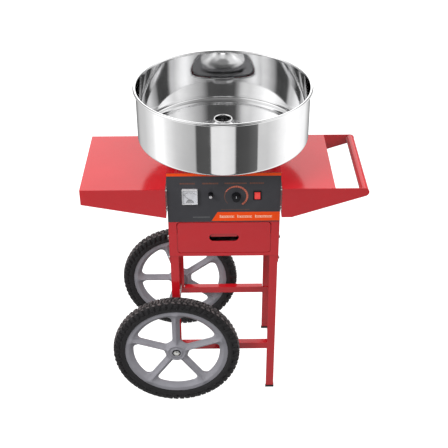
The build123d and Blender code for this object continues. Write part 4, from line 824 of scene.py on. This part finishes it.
def ring_piece(centre, inner_r, outer_r, start, end, steps=6):
    inside = arc_points(centre, inner_r, start, end, steps)
    return inside + arc_points(centre, outer_r, end, start, steps)


flat_print("print_top_stripe", [bar(-HALF + 0.3, HALF - 0.3, TOP - 10.2, TOP - 0.3)], INK_ORANGE)
banner_top = LOW + 34.0
banner_low = LOW + 3.0
BANNER_END = HALF - 0.4
banner = [(-36.5, banner_low), (BANNER_END, banner_low)]
banner += [(BANNER_END, banner_top), (-18.7, banner_top)]
flat_print("print_banner", [banner], INK_ORANGE)
stroke_foot = (banner_low + banner_top) / 2 - 4.4
STROKE_PITCH = 7.3
STROKE_TALL, STROKE_SHORT = 9.4, 7.0
LEAST_ROOM = 3
strokes = []
for x0, x1 in ((-12, 32), (40, 84), (92, 141)):
    x = x0
    while x < x1 - LEAST_ROOM:
        tall = STROKE_TALL if x == x0 else STROKE_SHORT
        strokes.append(bar(x, x + 2.2, stroke_foot, stroke_foot + tall))
        strokes.append(bar(x + 3.4, x + 6.0, stroke_foot, stroke_foot + 2.2))
        strokes.append(bar(x + 3.4, x + 6.0, stroke_foot + 5.0, stroke_foot + 7.2))
        x += STROKE_PITCH
flat_print("print_banner_marks", strokes, INK_PALE, rise=2 * PRINT_RISE)
LABEL_Z, LABEL_HALF = 795.4, 2.3
LABEL_GAP = 0.9
labels = ((-127, -80), (-62, -16), (2, 66), (75, 117))
random.seed(7)
marks = []
for x0, x1 in labels:
    x = x0
    while x < x1 - LEAST_ROOM:
        length = random.uniform(3.0, 6.5)
        marks.append(bar(x, min(x + length, x1), LABEL_Z - LABEL_HALF, LABEL_Z + LABEL_HALF))
        x += length + LABEL_GAP
flat_print("print_labels", marks, INK_BROWN)
small_row = [bar(x, x + 5.2, LOW + 41.4, LOW + 43.2) for x in range(-8, 76, 7)]
flat_print("print_small_row", small_row, INK_BROWN)
flat_print("print_side_mark", [bar(-91, -41, LOW + 15.4, LOW + 18.4)], INK_GREY)

knob_low, knob_high = (v * 1000 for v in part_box("control_knob"))
KNOB = ((knob_low.x + knob_high.x) / 2, (knob_low.z + knob_high.z) / 2)
thin, thick = [], []
SEGMENTS = 24
DARK_SEGMENTS = 6
SWEEP_START, SWEEP = 225, 285       # degrees
SWEEP_R = 35.0
for k in range(SEGMENTS):
    start = SWEEP_START - k * SWEEP / SEGMENTS
    end = SWEEP_START - (k + 0.84) * SWEEP / SEGMENTS
    width = 1.0 + 4.4 * min(1.0, k / (SEGMENTS * 0.45))
    segment = ring_piece(KNOB, SWEEP_R - width, SWEEP_R, start, end, 3)
    (thin if k < DARK_SEGMENTS else thick).append(segment)
flat_print("print_scale_start", thin, INK_BROWN)
flat_print("print_scale", thick, INK_SALMON)
flat_print(
    "knob_pointer",
    [bar(KNOB[0] - 0.7, KNOB[0] + 0.7, KNOB[1] + 2.5, KNOB[1] + 9.6)],
    POINTER_WHITE, y=knob_low.y, rise=0.25, body="knob",
)

# ------------------------------------------------------------------ voltmeter face
meter_low, meter_high = (v * 1000 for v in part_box("voltmeter_case"))
METER = ((meter_low.x + meter_high.x) / 2, (meter_low.z + meter_high.z) / 2)
DIAL_Y = meter_low.y + 6.0
PIVOT = (METER[0], METER[1] - 12.0)
half_w = (meter_high.x - meter_low.x) / 2 - 2.1
half_h = (meter_high.z - meter_low.z) / 2 - 2.1
flat_print(
    "meter_dial",
    [bar(METER[0] - half_w, METER[0] + half_w, METER[1] - half_h, METER[1] + half_h)],
    DIAL_WHITE, y=DIAL_Y, rise=0.4,
)
SCALE_R = 24.6
TICKS, TICK_STEP = 31, 3            # ticks on the dial, degrees between them


def tick(angle, length, side):
    """Outline of one dial tick: length outward from the scale, side to each edge."""
    along = (math.cos(angle), math.sin(angle))
    across = (-along[1] * side, along[0] * side)
    ends = ((SCALE_R, -1), (SCALE_R + length, -1), (SCALE_R + length, 1), (SCALE_R, 1))
    return [
        (PIVOT[0] + along[0] * r + sign * across[0], PIVOT[1] + along[1] * r + sign * across[1])
        for r, sign in ends
    ]


ticks = []
for k in range(TICKS):
    angle = math.radians(135 - TICK_STEP * k)
    ticks.append(tick(angle, 3.8, 0.34) if k % 5 == 0 else tick(angle, 2.2, 0.17))
for k in range(10):
    start = 45 + 9 * k
    ticks.append(ring_piece(PIVOT, SCALE_R - 0.4, SCALE_R + 0.1, start, start + 9, 3))
flat_print("meter_scale", ticks, INK_BLACK, y=DIAL_Y - 0.4, rise=0.06)
cover = (PIVOT[0], METER[1] - half_h + 0.6)
COVER_R = 10.0
flat_print(
    "meter_pivot_cover", [arc_points(cover, COVER_R, 0, 180, 24)], DIAL_GREY,
    y=DIAL_Y - 0.4, rise=0.2,
)
cover_edge = [ring_piece(cover, COVER_R, 11.6, 15 * k, 15 * k + 15, 3) for k in range(12)]
flat_print(
    "meter_cover_edge", cover_edge, INK_BLACK, y=DIAL_Y - 0.4, rise=0.3,
)


# ------------------------------------------------------------------ fuse carrier
fuse_low, fuse_high = (v * 1000 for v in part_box("fuse_carrier"))
FUSE = ((fuse_low.x + fuse_high.x) / 2, (fuse_low.z + fuse_high.z) / 2)


def turned(name, centre, profile, material, body, stands_for=()):
    """Small round piece on an axis along y."""
    mesh = revolved_mesh(name, profile, 48, 40.0, centre)
    return add_object(name, mesh, material, body, stands_for)


TIP = 3.5                       # how far the metal tip stands out of the cap
AXIS = 0.02                     # radius that closes a turned shape on its axis
cap_front = fuse_low.y + TIP
cap_back = PRINT_Y - 2.8
turned(
    "fuse_cap", FUSE,
    [(AXIS, cap_front + 0.3), (4.4, cap_front + 0.3), (4.9, cap_front + 0.4)]
    + [(5.3, cap_front + 0.9), (5.6, cap_front + 1.6), (5.6, cap_front + 5.0)]
    + [(5.2, cap_front + 5.3), (5.2, cap_front + 5.9), (5.6, cap_front + 6.2)]
    + [(5.6, cap_back - 0.5), (5.2, cap_back), (4.2, cap_back), (4.2, fuse_high.y - 0.6)]
    + [(3.7, fuse_high.y), (AXIS, fuse_high.y)],
    MATERIALS["black_plastic"], "fuse", ("fuse_carrier",),
)
turned(
    "fuse_tip", FUSE,
    [(AXIS, fuse_low.y), (1.6, fuse_low.y + 0.1), (3.2, fuse_low.y + 0.55)]
    + [(4.3, fuse_low.y + 1.5), (4.8, fuse_low.y + 2.7), (4.8, cap_front + 0.9)]
    + [(AXIS, cap_front + 0.9)],
    MATERIALS["fuse_metal"], "fuse",
)

# ------------------------------------------------------------------ black rings in the hub pockets, painted shade
for end, side in (("front", -1), ("back", 1)):
    rim_low, rim_high = (v * 1000 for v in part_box("wheel_rim_" + end))
    middle = (rim_low + rim_high) / 2
    # painted shade: a black ring fills the hub pocket round the nut, where the pocket lies in
    # shadow
    pocket_shade_ring = [(10.9, 11.2), (10.9, 15.6), (11.3, 16.2), (12.7, 16.6), (13.2, 16.2), (13.2, 11.2)]
    if side > 0:
        pocket_shade_ring = pocket_shade_ring[::-1]
    turned(
        "hub_pocket_shade_" + end, (middle.x, middle.z),
        [(radius, middle.y + side * y) for radius, y in pocket_shade_ring],
        MATERIALS["black_plastic"], "wheel_" + end,
    )


# ------------------------------------------------------------------ heater coil
heater_low, heater_high = (v * 1000 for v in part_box("heater_ring"))
COIL_R = 50.0
COIL_Z = heater_high.z - 4.0


def tube_mesh(name, path, radius, sides):
    """Round wire along a closed path in millimetres."""
    path = np.array(path, float)
    count = len(path)
    tangent = np.roll(path, -1, 0) - np.roll(path, 1, 0)
    tangent /= np.linalg.norm(tangent, axis=1)[:, None]
    reference = np.array([0.0, 0.0, 1.0])
    side = np.cross(tangent, reference)
    side /= np.linalg.norm(side, axis=1)[:, None]
    lift = np.cross(side, tangent)
    turn = np.arange(sides) / sides * 2 * math.pi
    points = (
        path[:, None, :]
        + radius * np.cos(turn)[None, :, None] * side[:, None, :]
        + radius * np.sin(turn)[None, :, None] * lift[:, None, :]
    ) * MM
    faces = []
    for k in range(count):
        here, there = k * sides, (k + 1) % count * sides
        for s in range(sides):
            t = (s + 1) % sides
            faces.append((here + s, there + s, there + t, here + t))
    return mesh_from(name, points.reshape(-1, 3), faces, 80.0)


TURNS = 96
PER_TURN = 8
WINDING_R = 3.3
coil = []
for k in range(TURNS * PER_TURN):
    along = 2 * math.pi * k / (TURNS * PER_TURN)
    roll = along * TURNS
    reach = COIL_R + WINDING_R * math.cos(roll)
    rise = COIL_Z + WINDING_R * math.sin(roll)
    coil.append((reach * math.cos(along), reach * math.sin(along), rise))
add_object(
    "heater_coil", tube_mesh("heater_coil", coil, 0.65, 6), MATERIALS["heater_metal"],
    "spinner", ("heater_ring",),
)
posts = bmesh.new()
POST = 9.0
POST_Z = heater_low.z + POST / 2
for k in range(4):
    angle = math.pi / 2 * k
    spot = Vector((COIL_R * math.cos(angle), COIL_R * math.sin(angle), POST_Z)) * MM
    bmesh.ops.create_cone(
        posts, cap_ends=True, segments=20, radius1=3.2 * MM, radius2=2.4 * MM,
        depth=POST * MM, matrix=Matrix.Translation(spot),
    )
bmesh.ops.bevel(posts, geom=list(posts.edges), offset=0.3 * MM, segments=2, affect="EDGES")
post_mesh = bpy.data.meshes.new("heater_posts")
posts.to_mesh(post_mesh)
posts.free()
add_object("heater_posts", post_mesh, MATERIALS["white_plastic"], "spinner")


# ------------------------------------------------------------------ studio
def stage_plane(name, centre, width, height, facing, material):
    """Flat sheet turned so that its face looks along facing."""
    work = bmesh.new()
    bmesh.ops.create_grid(work, x_segments=2, y_segments=2, size=0.5)
    bmesh.ops.scale(work, vec=(width, height, 1), verts=work.verts)
    mesh = bpy.data.meshes.new(name)
    work.to_mesh(mesh)
    work.free()
    plane = bpy.data.objects.new(name, mesh)
    bpy.context.scene.collection.objects.link(plane)
    mesh.materials.append(material)
    plane.rotation_mode = "QUATERNION"
    plane.rotation_quaternion = Vector(facing).to_track_quat("Z", "Y")
    plane.location = centre
    return plane


floor_shader = Shader("studio_floor", Roughness=0.9, IOR=1.3)
floor_tone = floor_shader.band(floor_shader.noise(3.0, 2.0), 0.3, 0.7)
floor_shader.set("Base Color", floor_shader.mix(floor_tone, (0.30, 0.30, 0.30), (0.32, 0.32, 0.32)))
floor_shader.set("Emission Color", (1.0, 1.0, 1.0))
floor_shader.set("Emission Strength", 0.95)
floor = stage_plane("floor", (0, 2.0, -0.0005), 24.0, 24.0, (0, 0, 1), floor_shader.material)
floor.visible_diffuse = False
floor.visible_glossy = False


class Sky(Graph):
    """World tones: reflectors round the set by bearing from the front, in degrees."""

    def __init__(self):
        world = bpy.data.worlds.new("studio")
        bpy.context.scene.world = world
        super().__init__(world)
        split = self.node("SeparateXYZ", {0: self.node("TexCoord").outputs["Generated"]})
        x, y, self.height = split.outputs
        bearing = self.math("ARCTAN2", x, self.math("MULTIPLY", y, -1.0))
        self.bearing = self.math("MULTIPLY_ADD", bearing, 0.5 / math.pi, 0.5)

    def ring(self, stops):
        """Half the tone at each bearing, straight between stops; a ramp holds at most 1."""
        ramp = self.node("ValToRGB", {0: self.bearing})
        elements = ramp.color_ramp.elements
        while len(elements) > 1:
            elements.remove(elements[0])
        for k, (bearing, tone) in enumerate(stops):
            place = bearing / 360 + 0.5
            element = elements[0] if k == 0 else elements.new(place)
            element.position = place
            element.color = (tone / 2, tone / 2, tone / 2, 1.0)
        return ramp.outputs[0]

    def blend(self, factor, a, b):
        return self.node("Mix", {0: factor, 2: a, 3: b}).outputs[0]

    def rise(self, low, high):
        """0 below low, 1 above high; both are heights of a unit direction."""
        values = {0: self.height, 1: low, 2: high}
        return self.node("MapRange", values, interpolation_type="SMOOTHSTEP").outputs[0]


BRIGHT = 1.35                   # tone of the white cards beside the set
BACK = 1.9                      # tone of the wall behind it
sky = Sky()
low_ring = sky.ring([
    (-180, 0.22), (-160, 0.25), (-146, 0.60), (-125, 0.72), (-107, 1.0), (-98, BRIGHT),
    (-86, 1.25), (-79, 1.0), (-65, 0.73),
    (-53, 0.62), (-37, 0.53), (-36, 0.09), (-17, 0.10), (-16, 0.92), (0, 0.95), (15, 0.80),
    (16, 0.07), (32, 0.09), (45, 0.15), (46, 0.72), (60, 0.72), (72, 0.88), (82, 1.1),
    (92, 1.25), (98, BRIGHT), (136, 1.1), (150, 0.60), (162, 0.25), (180, 0.22),
])
wall_ring = sky.ring([
    (-180, BACK), (-160, BACK), (-152, 0.30), (-144, 0.20), (-128, 0.50), (-103, 0.87),
    (-95, 1.1), (-77, 1.6), (-66, 1.5), (-50, 1.15), (-40, 0.9), (-32, 0.9), (-27, 0.75),
    (-22, 0.35), (-17, 0.10), (0, 0.08), (20, 0.10), (30, 0.48), (45, 0.8), (57, 1.05),
    (66, 1.15), (75, 0.95), (84, 1.2), (95, 1.4), (110, 1.1), (120, 0.75), (135, 0.30),
    (145, 0.20), (152, 0.40), (160, BACK), (180, BACK),
])
top_ring = sky.ring([
    (-180, 1.1), (-140, 0.7), (-110, 1.0), (-50, 1.0), (-38, 0.35), (-20, 0.15), (20, 0.13),
    (45, 0.20), (65, 0.38), (90, 0.6), (105, 0.85), (140, 0.8), (180, 1.1),
])
upper = sky.blend(sky.rise(0.62, 0.80), wall_ring, top_ring)
upper = sky.blend(sky.rise(0.90, 0.97), upper, 0.15)
mirrored = sky.math("MULTIPLY", sky.blend(sky.rise(-0.12, 0.10), low_ring, upper), 2.0)
SKY_LIGHT = 0.74
GROUND_LIGHT = 0.12
soft_light = sky.math(
    "MULTIPLY_ADD", sky.rise(-0.35, 0.35), SKY_LIGHT - GROUND_LIGHT, GROUND_LIGHT
)
rays = sky.node("LightPath").outputs
tone = sky.blend(rays["Is Glossy Ray"], soft_light, mirrored)
tone = sky.blend(rays["Is Camera Ray"], tone, 1.0)
background = sky.tree.nodes["Background"]
sky.tree.links.new(tone, background.inputs[1])
background.inputs[0].default_value = (1.0, 1.0, 1.0, 1.0)


def softbox(name, location, target, width, height, power):
    data = bpy.data.lights.new(name, "AREA")
    data.shape = "RECTANGLE"
    data.size, data.size_y = width, height
    data.energy = power
    box = bpy.data.objects.new(name, data)
    bpy.context.scene.collection.objects.link(box)
    box.location = location
    box.rotation_mode = "QUATERNION"
    box.rotation_quaternion = (Vector(location) - Vector(target)).to_track_quat("Z", "Y")
    return box


# name, place, target, width, height, power
lights = (
    ("front_light", (-1.7, -1.7, 2.3), (0.0, -0.1, 0.6), 0.9, 0.9, 38),
    ("left_light", (-2.1, -0.1, 1.8), (-0.2, 0.0, 0.78), 1.3, 1.3, 26),
    ("right_light", (2.1, -0.1, 1.9), (0.2, 0.0, 0.78), 1.3, 1.3, 34),
)
for light in lights:
    softbox(*light).visible_glossy = False
for item in bpy.data.objects:
    if item.name.startswith(("left_shelf", "right_shelf", "handle")):
        item.visible_glossy = False
bpy.context.scene.view_settings.view_transform = "Standard"
